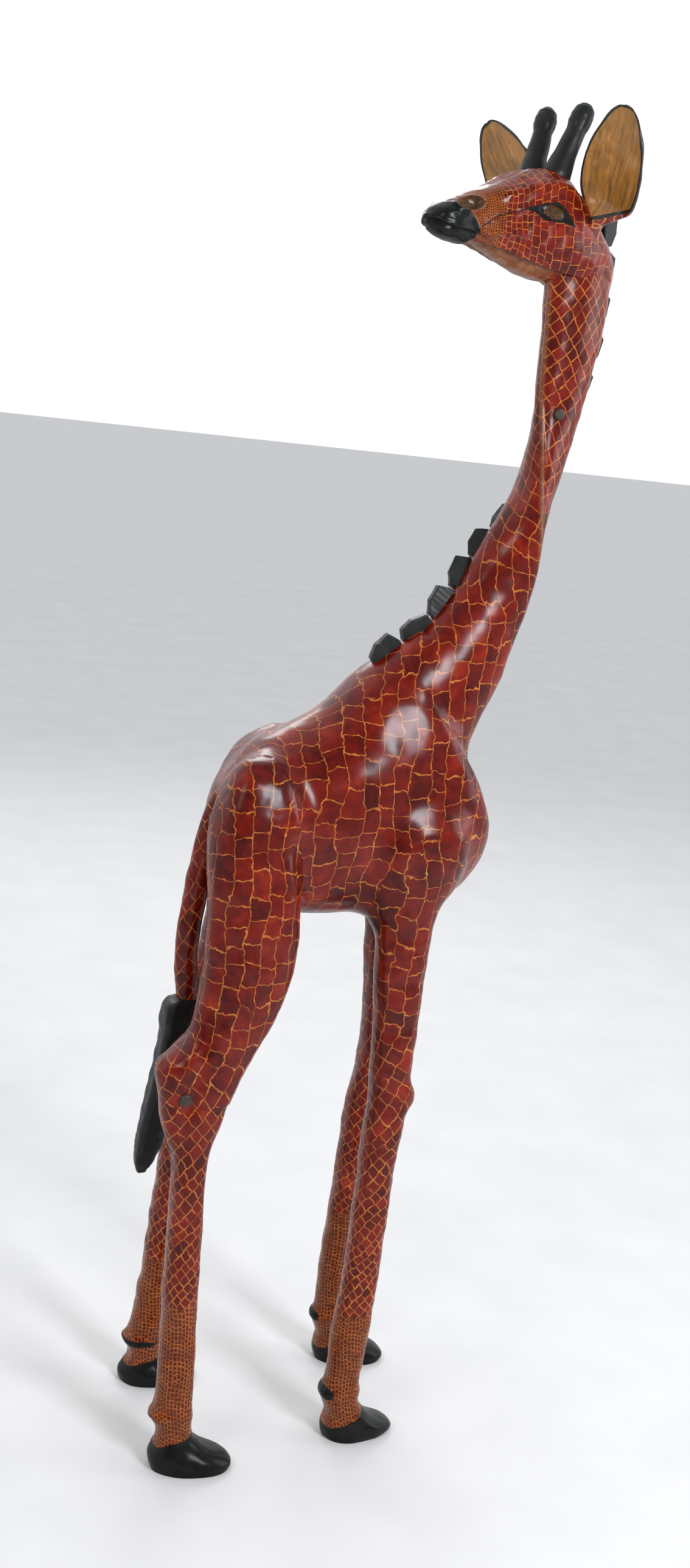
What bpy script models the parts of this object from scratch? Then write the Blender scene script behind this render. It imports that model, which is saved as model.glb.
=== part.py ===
"""Carved wooden giraffe statue, standing and looking back over its right shoulder.

Metres, +Z up. +X is the way the body faces and +Y is the giraffe's left. The origin is
the middle of the bounding box, on the floor. Legs, neck, head, ears, horns, tail and mane
are separate pieces of wood, let into each other and held by dowels and cross pins.
"""

import math

import bmesh
import bpy
from mathutils import Matrix, Vector

GAP = 0.0003                     # clearance between two pieces that touch
FRAME_SHIFT = Vector((-0.0916, 0.0135, 0.0))  # from the design axes to the middle of the bounding box

# Torso: each rib runs from the back line to the belly line, and is this wide at each side.
# (back x, back z, belly x, belly z, half width)
RIBS = (
    (-0.123, 0.898, -0.124, 0.862, 0.020),
    (-0.114, 0.931, -0.119, 0.815, 0.050),
    (-0.096, 0.960, -0.104, 0.780, 0.073),
    (-0.068, 0.993, -0.070, 0.764, 0.087),
    (-0.030, 1.013, -0.020, 0.758, 0.096),
    (0.012, 1.038, 0.040, 0.758, 0.100),
    (0.042, 1.069, 0.105, 0.763, 0.100),
    (0.058, 1.090, 0.175, 0.773, 0.097),
    (0.070, 1.102, 0.232, 0.792, 0.092),
    (0.079, 1.109, 0.268, 0.838, 0.086),
    (0.088, 1.115, 0.275, 0.885, 0.080),
    (0.098, 1.123, 0.262, 0.927, 0.073),
    (0.108, 1.131, 0.238, 0.961, 0.066),
    (0.120, 1.141, 0.230, 0.992, 0.060),
    (0.134, 1.153, 0.241, 1.035, 0.055),
)
RIB_EXPONENT = 2.25              # 2 is an ellipse, more is squarer

# Neck: it rises and twists, so that the throat ridge turns with the head.
# (x, z, half depth, half width, heading of the throat in degrees from +X)
NECK = (
    (0.2065, 1.128, 0.067, 0.050, 0.0),
    (0.2390, 1.203, 0.053, 0.043, -10.0),
    (0.2595, 1.268, 0.043, 0.038, -45.0),
    (0.2810, 1.343, 0.040, 0.033, -95.0),
    (0.2925, 1.414, 0.041, 0.033, -123.0),
    (0.2975, 1.480, 0.044, 0.035, -142.0),
    (0.3010, 1.548, 0.049, 0.038, -150.0),
    (0.3010, 1.611, 0.055, 0.040, -150.0),
    (0.2960, 1.680, 0.058, 0.040, -152.0),
    (0.2890, 1.742, 0.054, 0.038, -154.0),
)
NECK_EXPONENT = 2.1
THROAT_RIDGE = 0.32              # how much each section narrows towards the throat
NECK_JOINT = 4.35                # where the two neck blocks meet, counted in NECK stations
NECK_TOP = 7.8                   # where the neck ends inside the head

# Head, in its own frame: +X to the muzzle, +Y its left, +Z the crown, origin between the ears.
HEAD_POINT = Vector((0.2695, 0.0000, 1.7110))
HEAD_TURN = (4.0, 0.0, -156.0)  # roll, pitch and heading, in degrees
# (x, underside z, top z, half width)
HEAD = (
    (-0.090, -0.075, -0.050, 0.012),
    (-0.082, -0.098, -0.036, 0.030),
    (-0.056, -0.100, -0.014, 0.047),
    (-0.024, -0.093, 0.010, 0.058),
    (0.010, -0.088, 0.037, 0.064),
    (0.045, -0.088, 0.060, 0.063),
    (0.085, -0.083, 0.057, 0.057),
    (0.125, -0.070, 0.040, 0.048),
    (0.160, -0.059, 0.024, 0.040),
    (0.195, -0.052, 0.009, 0.035),
    (0.220, -0.049, -0.002, 0.032),
    (0.238, -0.043, -0.013, 0.024),
    (0.247, -0.035, -0.023, 0.008),
)
HEAD_EXPONENT = 2.35

# Ears and horns, placed in the head's frame.
EAR_FOOT = Vector((-0.005, 0.060, -0.009))
# outwards, forwards and turned about its own length, in degrees
EAR_LEAN = {"left": (19.0, 12.0, 8.0), "right": (27.0, 11.0, 8.0)}
EAR_LIFT = {"left": 0.005, "right": 0.011}  # the feet aren't quite level
# (distance from the foot, half width, half thickness, how far its middle is set outwards)
EAR = (
    (-0.028, 0.0080, 0.0080, -0.008),
    (-0.014, 0.0095, 0.0092, -0.009),
    (0.000, 0.0150, 0.0140, -0.009),
    (0.012, 0.0265, 0.0130, -0.001),
    (0.024, 0.0375, 0.0115, 0.005),
    (0.045, 0.0455, 0.0095, 0.003),
    (0.075, 0.0465, 0.0075, 0.002),
    (0.105, 0.0400, 0.0065, 0.003),
    (0.132, 0.0270, 0.0055, 0.004),
    (0.149, 0.0125, 0.0042, 0.004),
)
HORN_FOOT = Vector((0.046, 0.0215, 0.050))
HORN_LEAN = (7.0, -21.0)         # outwards and backwards, in degrees
# (radius, distance from the foot), from the top down
HORN = (
    (0.0000, 0.102),
    (0.0080, 0.101),
    (0.0130, 0.095),
    (0.0150, 0.085),
    (0.0148, 0.076),
    (0.0128, 0.066),
    (0.0148, 0.032),
    (0.0188, 0.004),
    (0.0188, -0.006),
    (0.0090, -0.006),
    (0.0090, -0.026),
    (0.0000, -0.026),
)

# Legs: (height, rear x, front x, half width), from the sole to the top.
HIND_LEG = (
    (0.000, -0.149, -0.041, 0.0340),
    (0.008, -0.152, -0.038, 0.0355),
    (0.018, -0.153, -0.050, 0.0345),
    (0.028, -0.149, -0.075, 0.0315),
    (0.042, -0.145, -0.094, 0.0265),
    (0.060, -0.147, -0.098, 0.0250),
    (0.077, -0.158, -0.097, 0.0260),
    (0.092, -0.152, -0.099, 0.0240),
    (0.130, -0.150, -0.101, 0.0235),
    (0.250, -0.153, -0.105, 0.0250),
    (0.400, -0.155, -0.109, 0.0270),
    (0.446, -0.159, -0.107, 0.0290),
    (0.490, -0.176, -0.096, 0.0320),
    (0.530, -0.183, -0.082, 0.0350),
    (0.568, -0.188, -0.067, 0.0370),
    (0.585, -0.176, -0.059, 0.0380),
    (0.608, -0.153, -0.048, 0.0395),
    (0.640, -0.142, -0.032, 0.0410),
    (0.700, -0.136, -0.015, 0.0430),
    (0.780, -0.137, -0.012, 0.0440),
    (0.850, -0.138, -0.022, 0.0430),
    (0.910, -0.132, -0.040, 0.0390),
    (0.955, -0.120, -0.058, 0.0290),
    (0.978, -0.102, -0.072, 0.0120),
)
HOCK = 0.522                     # height of the joint between thigh and shank
FORE_LEG = (
    (0.000, 0.117, 0.219, 0.0320),
    (0.008, 0.114, 0.223, 0.0335),
    (0.018, 0.113, 0.211, 0.0330),
    (0.028, 0.114, 0.190, 0.0305),
    (0.042, 0.116, 0.171, 0.0265),
    (0.060, 0.110, 0.162, 0.0250),
    (0.075, 0.104, 0.163, 0.0260),
    (0.095, 0.111, 0.161, 0.0240),
    (0.150, 0.113, 0.165, 0.0240),
    (0.250, 0.120, 0.170, 0.0250),
    (0.380, 0.124, 0.173, 0.0260),
    (0.450, 0.124, 0.176, 0.0275),
    (0.487, 0.126, 0.181, 0.0290),
    (0.518, 0.126, 0.191, 0.0300),
    (0.550, 0.125, 0.181, 0.0290),
    (0.620, 0.121, 0.183, 0.0290),
    (0.700, 0.113, 0.184, 0.0310),
    (0.780, 0.106, 0.190, 0.0340),
    (0.840, 0.108, 0.200, 0.0350),
    (0.885, 0.120, 0.202, 0.0290),
    (0.908, 0.140, 0.185, 0.0120),
)
LEG_EXPONENT = 2.4
LEG_INNER_FACE = 0.055           # the flat that each leg lies against inside the body
# For each leg: sideways at the top and at the sole, forward at the sole and at the top,
# how tall its foot is against the other legs' feet, and how far its toe turns, in degrees.
STANCE = {
    "hind_right": (-0.078, -0.139, 0.000, 0.000, 1.0, -6.0),
    "hind_left": (0.074, 0.090, 0.006, 0.050, 0.75, 4.0),
    "fore_right": (-0.066, -0.095, -0.002, 0.000, 0.9, 15.0),
    "fore_left": (0.066, 0.119, 0.054, 0.043, 1.0, -6.0),
}
# How far each leg is bent forward, at heights from the sole up.
BOW = {
    "hind_right": ((0.0, 0.0), (1.0, 0.0)),
    "hind_left": ((0.0, 0.0), (0.10, 0.004), (0.20, 0.009), (0.45, 0.009), (0.60, 0.003),
                  (1.0, 0.0)),
    "fore_right": ((0.0, 0.0), (1.0, 0.0)),
    "fore_left": ((0.0, 0.0), (0.10, -0.005), (0.20, -0.012), (0.40, -0.015), (0.52, -0.005),
                  (0.75, -0.008), (1.0, -0.008)),
}
HEEL_LINE = -0.152               # the heel of a hind leg stands out behind this
HEEL = {"right": 1.0, "left": 0.35}  # how much of the stations' heel each hind leg has
ANKLE = {"hind": -0.1215, "fore": 0.1395}  # middle of the leg just above the hoof
FOOT = 0.15                      # the foot ends here, and the leg above it keeps its heights
HOOF = 0.06                      # the toe's turn fades out up to this height
LEG_TOP = 0.9                    # height at which the stance's top values hold

# Tail: (x, z, radius) from the root down, then the tuft.
TAIL = (
    (-0.088, 0.930, 0.0150),
    (-0.108, 0.908, 0.0165),
    (-0.120, 0.870, 0.0165),
    (-0.128, 0.820, 0.0165),
    (-0.134, 0.760, 0.0165),
    (-0.137, 0.700, 0.0160),
    (-0.133, 0.660, 0.0158),
    (-0.127, 0.6220, 0.0145),
)
# (height, middle x, half length along x, half width)
TUFT = (
    (0.629, -0.1275, 0.0165, 0.0150),
    (0.615, -0.1330, 0.0270, 0.0220),
    (0.560, -0.1370, 0.0250, 0.0210),
    (0.480, -0.1490, 0.0230, 0.0190),
    (0.430, -0.1590, 0.0190, 0.0160),
    (0.395, -0.1660, 0.0140, 0.0120),
    (0.374, -0.1680, 0.0065, 0.0060),
)

# Mane: a row of blocks along the back of the neck.
MANE_COUNT = 14
MANE_START = 0.000               # from the withers, along the neck
MANE_PITCH = 0.0520
MANE_LENGTH = 0.0465
MANE_HEIGHT = 0.022
MANE_THICKNESS = 0.014
MANE_SINK = 0.012                # how far a block reaches below the neck's surface before it is coped

DOWEL_SIDES = 16


def smooth_rows(rows, count, first=0.0, last=None):
    """Rows of numbers, interpolated by a Catmull-Rom curve, at evenly spaced stations."""
    last = len(rows) - 1.0 if last is None else last
    result = []
    for step in range(count):
        place = first + (last - first) * step / (count - 1)
        index = min(int(place), len(rows) - 2)
        t = place - index
        p1, p2 = rows[index], rows[index + 1]
        p0 = rows[index - 1] if index > 0 else [2 * a - b for a, b in zip(p1, p2)]
        p3 = rows[index + 2] if index + 2 < len(rows) else [2 * b - a for a, b in zip(p1, p2)]
        result.append([
            b + 0.5 * t * (c - a + t * (2 * a - 5 * b + 4 * c - d + t * (3 * (b - c) + d - a)))
            for a, b, c, d in zip(p0, p1, p2, p3)
        ])
    return result


def section(centre, down, side, exponent, ridge=0.0, sides=24):
    """A superellipse around centre. It narrows towards down where ridge is above zero."""
    points = []
    for step in range(sides):
        angle = 2 * math.pi * step / sides
        u = math.copysign(abs(math.cos(angle)) ** (2 / exponent), math.cos(angle))
        v = math.copysign(abs(math.sin(angle)) ** (2 / exponent), math.sin(angle))
        points.append(centre + down * u + side * v * (1 - ridge * (0.5 + 0.5 * u)))
    return points


def collection(name):
    """A new collection in the scene."""
    group = bpy.data.collections.new(name)
    bpy.context.scene.collection.children.link(group)
    return group


def material(name, colour, roughness):
    """A Principled material."""
    result = bpy.data.materials.new(name)
    result.use_nodes = True
    shader = result.node_tree.nodes["Principled BSDF"]
    shader.inputs["Base Color"].default_value = (*colour, 1.0)
    shader.inputs["Roughness"].default_value = roughness
    shader.inputs["Metallic"].default_value = 0.0
    return result


def add_object(name, mesh, finish=None):
    """A mesh as an object: a part if it has a finish, otherwise a cutter."""
    piece = bpy.data.objects.new(name, mesh)
    piece.parent = FRAME
    if finish is None:
        piece.hide_render = True
        piece.display_type = "WIRE"
        CUTTERS.objects.link(piece)
    else:
        mesh.materials.append(finish)
        PARTS.objects.link(piece)
    return piece


def mesh_from(name, build):
    """A mesh that the function build fills in, as triangles that face out."""
    shape = bmesh.new()
    build(shape)
    bmesh.ops.triangulate(shape, faces=shape.faces)
    bmesh.ops.recalc_face_normals(shape, faces=shape.faces)
    mesh = bpy.data.meshes.new(name)
    shape.to_mesh(mesh)
    shape.free()
    mesh.shade_smooth()
    mesh.set_sharp_from_angle(angle=math.radians(40))
    return mesh


def loft(name, rings, finish=None):
    """A closed skin over rings of points, with a flat cap at each end."""
    def build(shape):
        loops = [[shape.verts.new(point) for point in ring] for ring in rings]
        sides = len(loops[0])
        for lower, upper in zip(loops, loops[1:]):
            for i in range(sides):
                j = (i + 1) % sides
                shape.faces.new((lower[i], lower[j], upper[j], upper[i]))
        shape.faces.new(loops[0])
        shape.faces.new(loops[-1])
    return add_object(name, mesh_from(name, build), finish)


def box(name, low, high):
    """A cutter box between two corners."""
    middle = (Vector(low) + Vector(high)) / 2
    size = Vector(high) - Vector(low)

    def build(shape):
        place = Matrix.Translation(middle) @ Matrix.Diagonal((*size, 1.0))
        bmesh.ops.create_cube(shape, size=1.0, matrix=place)
    return add_object(name, mesh_from(name, build))


def rod(name, start, end, radius, finish=None):
    """A round rod from start to end."""
    start, end = Vector(start), Vector(end)
    axis = end - start
    place = Matrix.Translation((start + end) / 2) @ axis.to_track_quat("Z", "Y").to_matrix().to_4x4()

    def build(shape):
        bmesh.ops.create_cone(shape, cap_ends=True, segments=DOWEL_SIDES, radius1=radius,
                              radius2=radius, depth=axis.length, matrix=place)
    return add_object(name, mesh_from(name, build), finish)


def grown(source, by=GAP):
    """A cutter with the shape of source before its cuts, larger by a clearance."""
    shape = bmesh.new()
    shape.from_mesh(source.data)
    shape.normal_update()
    moves = [(vertex, vertex.normal * by * vertex.calc_shell_factor()) for vertex in shape.verts]
    for vertex, move in moves:
        vertex.co += move
    mesh = bpy.data.meshes.new(source.name + "_grown")
    shape.to_mesh(mesh)
    shape.free()
    return add_object(mesh.name, mesh)


def combine(piece, other, operation="DIFFERENCE"):
    """A Boolean modifier on piece."""
    step = piece.modifiers.new(other.name, "BOOLEAN")
    step.operation = operation
    step.solver = "EXACT"
    step.object = other


def doweled(name, start, end, radius, pieces, finish):
    """A dowel, with a hole for it in each of the pieces that it joins."""
    start, end = Vector(start), Vector(end)
    along = (end - start).normalized() * GAP
    hole = rod(name + "_hole", start - along, end + along, radius + GAP)
    for piece in pieces:
        combine(piece, hole)
    return rod(name, start, end, radius, finish)


def pinned(name, mouth, inner, radius, pieces, finish):
    """A cross pin whose outer end shows, in a hole that runs out through the surface."""
    mouth, inner = Vector(mouth), Vector(inner)
    along = (mouth - inner).normalized()
    hole = rod(name + "_hole", inner - along * GAP, mouth + along * 0.05, radius + GAP)
    for piece in pieces:
        combine(piece, hole)
    return rod(name, inner, mouth, radius, finish)


def neck_rows(count, first, last):
    """(centre, towards the throat, sideways) for stations along the twisting neck."""
    rows = smooth_rows(NECK, count, first, last)
    before = smooth_rows(NECK, count, first - 0.02, last - 0.02)
    after = smooth_rows(NECK, count, first + 0.02, last + 0.02)
    result = []
    for low, (x, z, depth, width, heading), high in zip(before, rows, after):
        tangent = Vector((high[0] - low[0], 0.0, high[1] - low[1])).normalized()
        turn = math.radians(heading)
        throat = Vector((math.cos(turn), math.sin(turn), 0.0))
        throat = (throat - tangent * throat.dot(tangent)).normalized()
        result.append((Vector((x, 0.0, z)), throat * depth, tangent.cross(throat) * width))
    return result


def torso_rows():
    """The same three vectors for the ribs, then up the lower neck to its joint."""
    first = neck_rows(2, 0.02, NECK_JOINT)[0]
    back, belly = first[0] - first[1], first[0] + first[1]
    ribs = RIBS + ((back.x, back.z, belly.x, belly.z, NECK[0][3]),)
    rows = []
    for bx, bz, vx, vz, width in smooth_rows(ribs, 34):
        top, bottom = Vector((bx, 0.0, bz)), Vector((vx, 0.0, vz))
        rows.append(((top + bottom) / 2, (bottom - top) / 2, Vector((0.0, width, 0.0))))
    return rows, neck_rows(12, 0.28, NECK_JOINT)


def make_body():
    """The torso with the lower neck, and the upper neck."""
    ribs, lower_neck = torso_rows()
    rings = []
    for number, (centre, down, side) in enumerate(ribs):
        ridge = THROAT_RIDGE * max(0.0, number / len(ribs) - 0.75)
        rings.append(section(centre, down, side, RIB_EXPONENT, ridge))
    for number, (centre, down, side) in enumerate(lower_neck):
        ridge = THROAT_RIDGE * min(1.0, 0.25 + number / 8)
        rings.append(section(centre, down, side, NECK_EXPONENT, ridge))
    torso = loft("torso", rings, RED)
    upper = neck_rows(11, NECK_JOINT, NECK_TOP)
    lift = (upper[1][0] - upper[0][0]).normalized() * GAP
    rings = [section(centre + lift, down, side, NECK_EXPONENT, THROAT_RIDGE)
             for centre, down, side in upper]
    neck = loft("upper_neck", rings, RED)
    return torso, neck


def head_matrix():
    """The head's frame, in the body's."""
    roll, pitch, heading = (math.radians(value) for value in HEAD_TURN)
    turn = Matrix.Rotation(heading, 4, "Z") @ Matrix.Rotation(pitch, 4, "Y") @ Matrix.Rotation(roll, 4, "X")
    return Matrix.Translation(HEAD_POINT) @ turn


def make_head(neck):
    """The head, hollowed underneath to sit over the top of the neck."""
    place = head_matrix()
    rings = []
    for x, low, high, width in smooth_rows(HEAD, 22):
        centre = Vector((x, 0.0, (low + high) / 2))
        down = Vector((0, 0, (low - high) / 2))
        ring = section(centre, down, Vector((0, width, 0)), HEAD_EXPONENT, 0.3, 20)
        rings.append([place @ point for point in ring])
    head = loft("head", rings, RED)
    combine(head, grown(neck))
    return head


def ear_matrix(name, side):
    """An ear's frame in the head's: +Z along the ear, +X out of its hollow face."""
    outwards, forwards, turn = (math.radians(value) for value in EAR_LEAN[name])
    foot = Vector((EAR_FOOT.x, side * EAR_FOOT.y, EAR_FOOT.z + EAR_LIFT[name]))
    lean = Matrix.Rotation(-side * outwards, 4, "X") @ Matrix.Rotation(forwards, 4, "Y")
    return Matrix.Translation(foot) @ lean @ Matrix.Rotation(side * turn, 4, "Z")


def make_ears_and_horns(head):
    """Two leaf-shaped ears and two turned horns, each with a peg in the head."""
    for name, side in (("left", 1), ("right", -1)):
        place = head_matrix() @ ear_matrix(name, side)
        rings = []
        for along, width, thickness, outwards in smooth_rows(EAR, 15):
            middle = Vector((0, side * outwards, along))
            ring = section(middle, Vector((thickness, 0, 0)), Vector((0, width, 0)), 2.2, 0, 12)
            rings.append([place @ point for point in ring])
        ear = loft("ear_" + name, rings, EAR_WOOD)
        combine(head, grown(ear))
        out, back = (math.radians(value) for value in HORN_LEAN)
        foot = Vector((HORN_FOOT.x, side * HORN_FOOT.y, HORN_FOOT.z))
        lean = Matrix.Rotation(-side * out, 4, "X") @ Matrix.Rotation(back, 4, "Y")
        place = head_matrix() @ Matrix.Translation(foot) @ lean
        horn = turned("horn_" + name, HORN, place, BLACK)
        combine(head, grown(horn))


def turned(name, profile, place, finish):
    """A solid of revolution about its own Z, from a profile that runs top to bottom."""
    line = bmesh.new()
    verts = [line.verts.new((radius, 0.0, height)) for radius, height in profile]
    for upper, lower in zip(verts, verts[1:]):
        line.edges.new((upper, lower))
    mesh = bpy.data.meshes.new(name + "_profile")
    line.to_mesh(mesh)
    line.free()
    guide = add_object(name + "_profile", mesh)
    screw = guide.modifiers.new("turn", "SCREW")
    screw.steps = screw.render_steps = 12
    screw.use_merge_vertices = True
    screw.merge_threshold = 0.00005
    solid = bpy.data.meshes.new_from_object(guide.evaluated_get(bpy.context.evaluated_depsgraph_get()))
    bpy.data.objects.remove(guide)
    solid.name = name
    solid.transform(place)
    return add_object(name, mesh_from(name, lambda shape: shape.from_mesh(solid)), finish)


def bow(stance, height):
    """How far a leg is bent forward at a height, on straight lines between its stations."""
    rows = BOW[stance]
    (low, start), (high, end) = next(pair for pair in zip(rows, rows[1:]) if height <= pair[1][0])
    return start + (end - start) * (height - low) / (high - low)


def leg_centre(stance, height, rear, front):
    """The middle of a leg at a height, between a rear x and a front x."""
    top_y, sole_y, sole_x, top_x, _, _ = STANCE[stance]
    rise = height / LEG_TOP
    return Vector(((rear + front) / 2 + sole_x + (top_x - sole_x) * rise + bow(stance, height),
                   sole_y + (top_y - sole_y) * rise, height))


def leg_ring(row, stance):
    """One level section of a leg, set over by the stance, with its toe turned."""
    height, rear, front, width = row
    if stance.startswith("hind") and rear < HEEL_LINE and height > FOOT:
        rear = HEEL_LINE + (rear - HEEL_LINE) * HEEL[stance[5:]]
    foot, toe = STANCE[stance][4:]
    height *= foot + (1 - foot) * min(1.0, height / FOOT)
    turn = Matrix.Rotation(math.radians(toe) * max(0.0, 1 - height / HOOF), 3, "Z")
    ankle = ANKLE[stance[:4]]
    middle = leg_centre(stance, height, ankle, ankle)
    centre = middle + turn @ (leg_centre(stance, height, rear, front) - middle)
    reach = turn @ Vector(((front - rear) / 2, 0.0, 0.0))
    return section(centre, reach, turn @ Vector((0.0, width, 0.0)), LEG_EXPONENT, 0.0, 16)


def split_rows(rows, height):
    """Stations below and above a height, each list with a station at the height itself."""
    index = next(i for i, row in enumerate(rows) if row[0] > height)
    low, high = rows[index - 1], rows[index]
    t = (height - low[0]) / (high[0] - low[0])
    middle = [a + (b - a) * t for a, b in zip(low, high)]
    return rows[:index] + [middle], [middle] + rows[index:]


def make_legs(torso):
    """Four legs let into the body; each hind leg is a thigh on a shank, pinned at the hock."""
    core = box("core", (-0.3, -LEG_INNER_FACE, 0.6), (0.5, LEG_INNER_FACE, 1.2))
    seat = grown(torso)
    wider_core = box("seat_core", (-0.3, -LEG_INNER_FACE - GAP, 0.6), (0.5, LEG_INNER_FACE + GAP, 1.2))
    combine(seat, wider_core, "INTERSECT")
    for side in ("right", "left"):
        shank_rows, thigh_rows = split_rows(smooth_rows(HIND_LEG, 36), HOCK)
        thigh_rows[0] = [HOCK + GAP] + thigh_rows[0][1:]
        stance = "hind_" + side
        shank = loft("shank_" + side, [leg_ring(row, stance) for row in shank_rows], RED)
        thigh = loft("thigh_" + side, [leg_ring(row, stance) for row in thigh_rows], RED)
        fore_rings = [leg_ring(row, "fore_" + side) for row in smooth_rows(FORE_LEG, 30)]
        foreleg = loft("foreleg_" + side, fore_rings, RED)
        for leg in (thigh, foreleg):
            pocket = grown(leg)
            combine(pocket, core)
            combine(torso, pocket)
            combine(leg, seat)
        join_leg(side, torso, thigh, shank, foreleg)


def join_leg(side, torso, thigh, shank, foreleg):
    """Dowels from the body into the legs, and the pins that show as round plugs."""
    sign = 1 if side == "left" else -1
    thigh_x = STANCE["hind_" + side][3]
    fore_x = STANCE["fore_" + side][3]
    hip = Vector((-0.078 + thigh_x, 0.0, 0.880))
    doweled("hip_dowel_" + side, hip + Vector((0, sign * 0.030, 0)), hip + Vector((0, sign * 0.090, 0)),
            0.010, (torso, thigh), BARE_WOOD)
    shoulder = Vector((0.155 + fore_x, 0.0, 0.850))
    doweled("shoulder_dowel_" + side, shoulder + Vector((0, sign * 0.030, 0)),
            shoulder + Vector((0, sign * 0.078, 0)), 0.009, (torso, foreleg), BARE_WOOD)
    centre = leg_centre("hind_" + side, HOCK, -0.183, -0.083)
    doweled("hock_dowel_" + side, centre - Vector((-0.012, 0, 0.045)), centre + Vector((0.012, 0, 0.045)),
            0.009, (thigh, shank), BARE_WOOD)
    plug = leg_centre("hind_" + side, HOCK, -0.164, -0.144)
    plug.z = HOCK + 0.012
    pinned("hock_plug_" + side, plug + Vector((0, sign * 0.0338, 0)), plug + Vector((0, sign * 0.010, 0)),
           0.0085, (thigh,), PLUG)
    top = leg_centre("fore_" + side, 0.800, 0.122, 0.122)
    pinned("foreleg_plug_" + side, top + Vector((0, sign * 0.0275, 0)), top + Vector((0, sign * 0.004, 0)),
           0.0085, (foreleg,), PLUG)


def make_tail(torso):
    """The tail, pegged into the rump, with a separate tuft on its end."""
    curve = bpy.data.curves.new("tail_route", "CURVE")
    curve.dimensions = "3D"
    curve.bevel_depth = 1.0
    curve.bevel_resolution = 2
    curve.use_fill_caps = True
    route = smooth_rows(TAIL, 13)
    spline = curve.splines.new("POLY")
    spline.points.add(len(route) - 1)
    for point, (x, z, radius) in zip(spline.points, route):
        point.co = (x, 0.0, z, 1.0)
        point.radius = radius
    guide = bpy.data.objects.new("tail_route", curve)
    CUTTERS.objects.link(guide)
    solid = bpy.data.meshes.new_from_object(guide.evaluated_get(bpy.context.evaluated_depsgraph_get()))
    bpy.data.objects.remove(guide)

    def build(shape):
        shape.from_mesh(solid)
        bmesh.ops.remove_doubles(shape, verts=shape.verts, dist=0.00001)
    tail = add_object("tail", mesh_from("tail", build), RED)
    combine(torso, grown(tail))
    rings = []
    for z, x, length, width in smooth_rows(TUFT, 9):
        rings.append(section(Vector((x, 0, z)), Vector((length, 0, 0)), Vector((0, width, 0)), 5.0, 0, 12))
    tuft = loft("tail_tuft", rings, BLACK)
    combine(tuft, grown(tail))
    doweled("tuft_dowel", (-0.1300, 0, 0.650), (-0.1270, 0, 0.590), 0.005, (tail, tuft), BARE_WOOD)


def mane_frames(ribs, lower_neck, upper_neck):
    """Points on the back of the neck, with the way along it and the way out of it."""
    line = [(centre - down, -down.normalized(), side.normalized())
            for centre, down, side in ribs[20:-1] + lower_neck + upper_neck]
    lengths = [0.0]
    for (a, _, _), (b, _, _) in zip(line, line[1:]):
        lengths.append(lengths[-1] + (b - a).length)
    frames = []
    for number in range(MANE_COUNT):
        place = MANE_START + MANE_PITCH * number + MANE_LENGTH / 2
        index = next(i for i, length in enumerate(lengths) if length > place)
        t = (place - lengths[index - 1]) / (lengths[index] - lengths[index - 1])
        point = line[index - 1][0].lerp(line[index][0], t)
        along = (line[index][0] - line[index - 1][0]).normalized()
        out = line[index - 1][1].lerp(line[index][1], t)
        out = (out - along * out.dot(along)).normalized()
        frames.append((point, along, out))
    return frames


def make_mane(torso, neck, head):
    """Fourteen notched blocks, each coped to the neck under it."""
    ribs, lower_neck = torso_rows()
    seats = (grown(torso), grown(neck), grown(head))
    half = MANE_LENGTH / 2
    outline = ((-half, -MANE_SINK), (half, -MANE_SINK), (half, 0.006), (half - 0.008, MANE_HEIGHT),
               (-half + 0.016, MANE_HEIGHT - 0.003), (-half, 0.008))
    frames = mane_frames(ribs, lower_neck, neck_rows(14, NECK_JOINT + 0.25, len(NECK) - 1.1))
    for number, (point, along, out) in enumerate(frames, start=1):
        side = along.cross(out)

        def build(shape):
            face = shape.faces.new([
                shape.verts.new(point + along * a + out * h - side * MANE_THICKNESS / 2)
                for a, h in outline])
            walls = bmesh.ops.extrude_face_region(shape, geom=[face])
            moved = [item for item in walls["geom"] if isinstance(item, bmesh.types.BMVert)]
            bmesh.ops.translate(shape, verts=moved, vec=side * MANE_THICKNESS)
        name = f"mane_block_{number:02d}"
        block = add_object(name, mesh_from(name, build), BLACK)
        for seat in seats:
            combine(block, seat)


def make_neck_joints(torso, neck, head):
    """Dowels through the two neck joints, and the pin that shows below the head."""
    (joint, _, _), (above, _, _) = neck_rows(2, NECK_JOINT, NECK_JOINT + 0.8)
    axis = (above - joint).normalized()
    doweled("neck_dowel", joint - axis * 0.060, joint + axis * 0.060, 0.012, (torso, neck), BARE_WOOD)
    top = neck_rows(2, NECK_TOP, NECK_TOP + 0.1)[0][0]
    doweled("head_dowel", top - Vector((0, 0, 0.055)), top + Vector((0, 0, 0.030)), 0.011,
            (neck, head), BARE_WOOD)
    centre, _, _ = neck_rows(2, NECK_JOINT + 0.42, NECK_TOP)[0]
    way = Vector((-0.25, -0.97, 0.0)).normalized()
    pinned("neck_plug", centre + way * 0.0400, centre + way * 0.0150, 0.0075, (neck,), PLUG)


for leftover in list(bpy.data.objects):
    bpy.data.objects.remove(leftover)
PARTS = collection("giraffe_statue")
CUTTERS = collection("cutters")
FRAME = bpy.data.objects.new("frame", None)
PARTS.objects.link(FRAME)
FRAME.location = FRAME_SHIFT

RED = material("painted_red_wood", (0.19, 0.018, 0.005), 0.28)
BLACK = material("black_stained_wood", (0.008, 0.009, 0.008), 0.42)
EAR_WOOD = material("varnished_ear_wood", (0.42, 0.17, 0.035), 0.35)
BARE_WOOD = material("bare_wood", (0.36, 0.22, 0.11), 0.7)
PLUG = material("dark_plug_wood", (0.045, 0.026, 0.018), 0.5)

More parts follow.
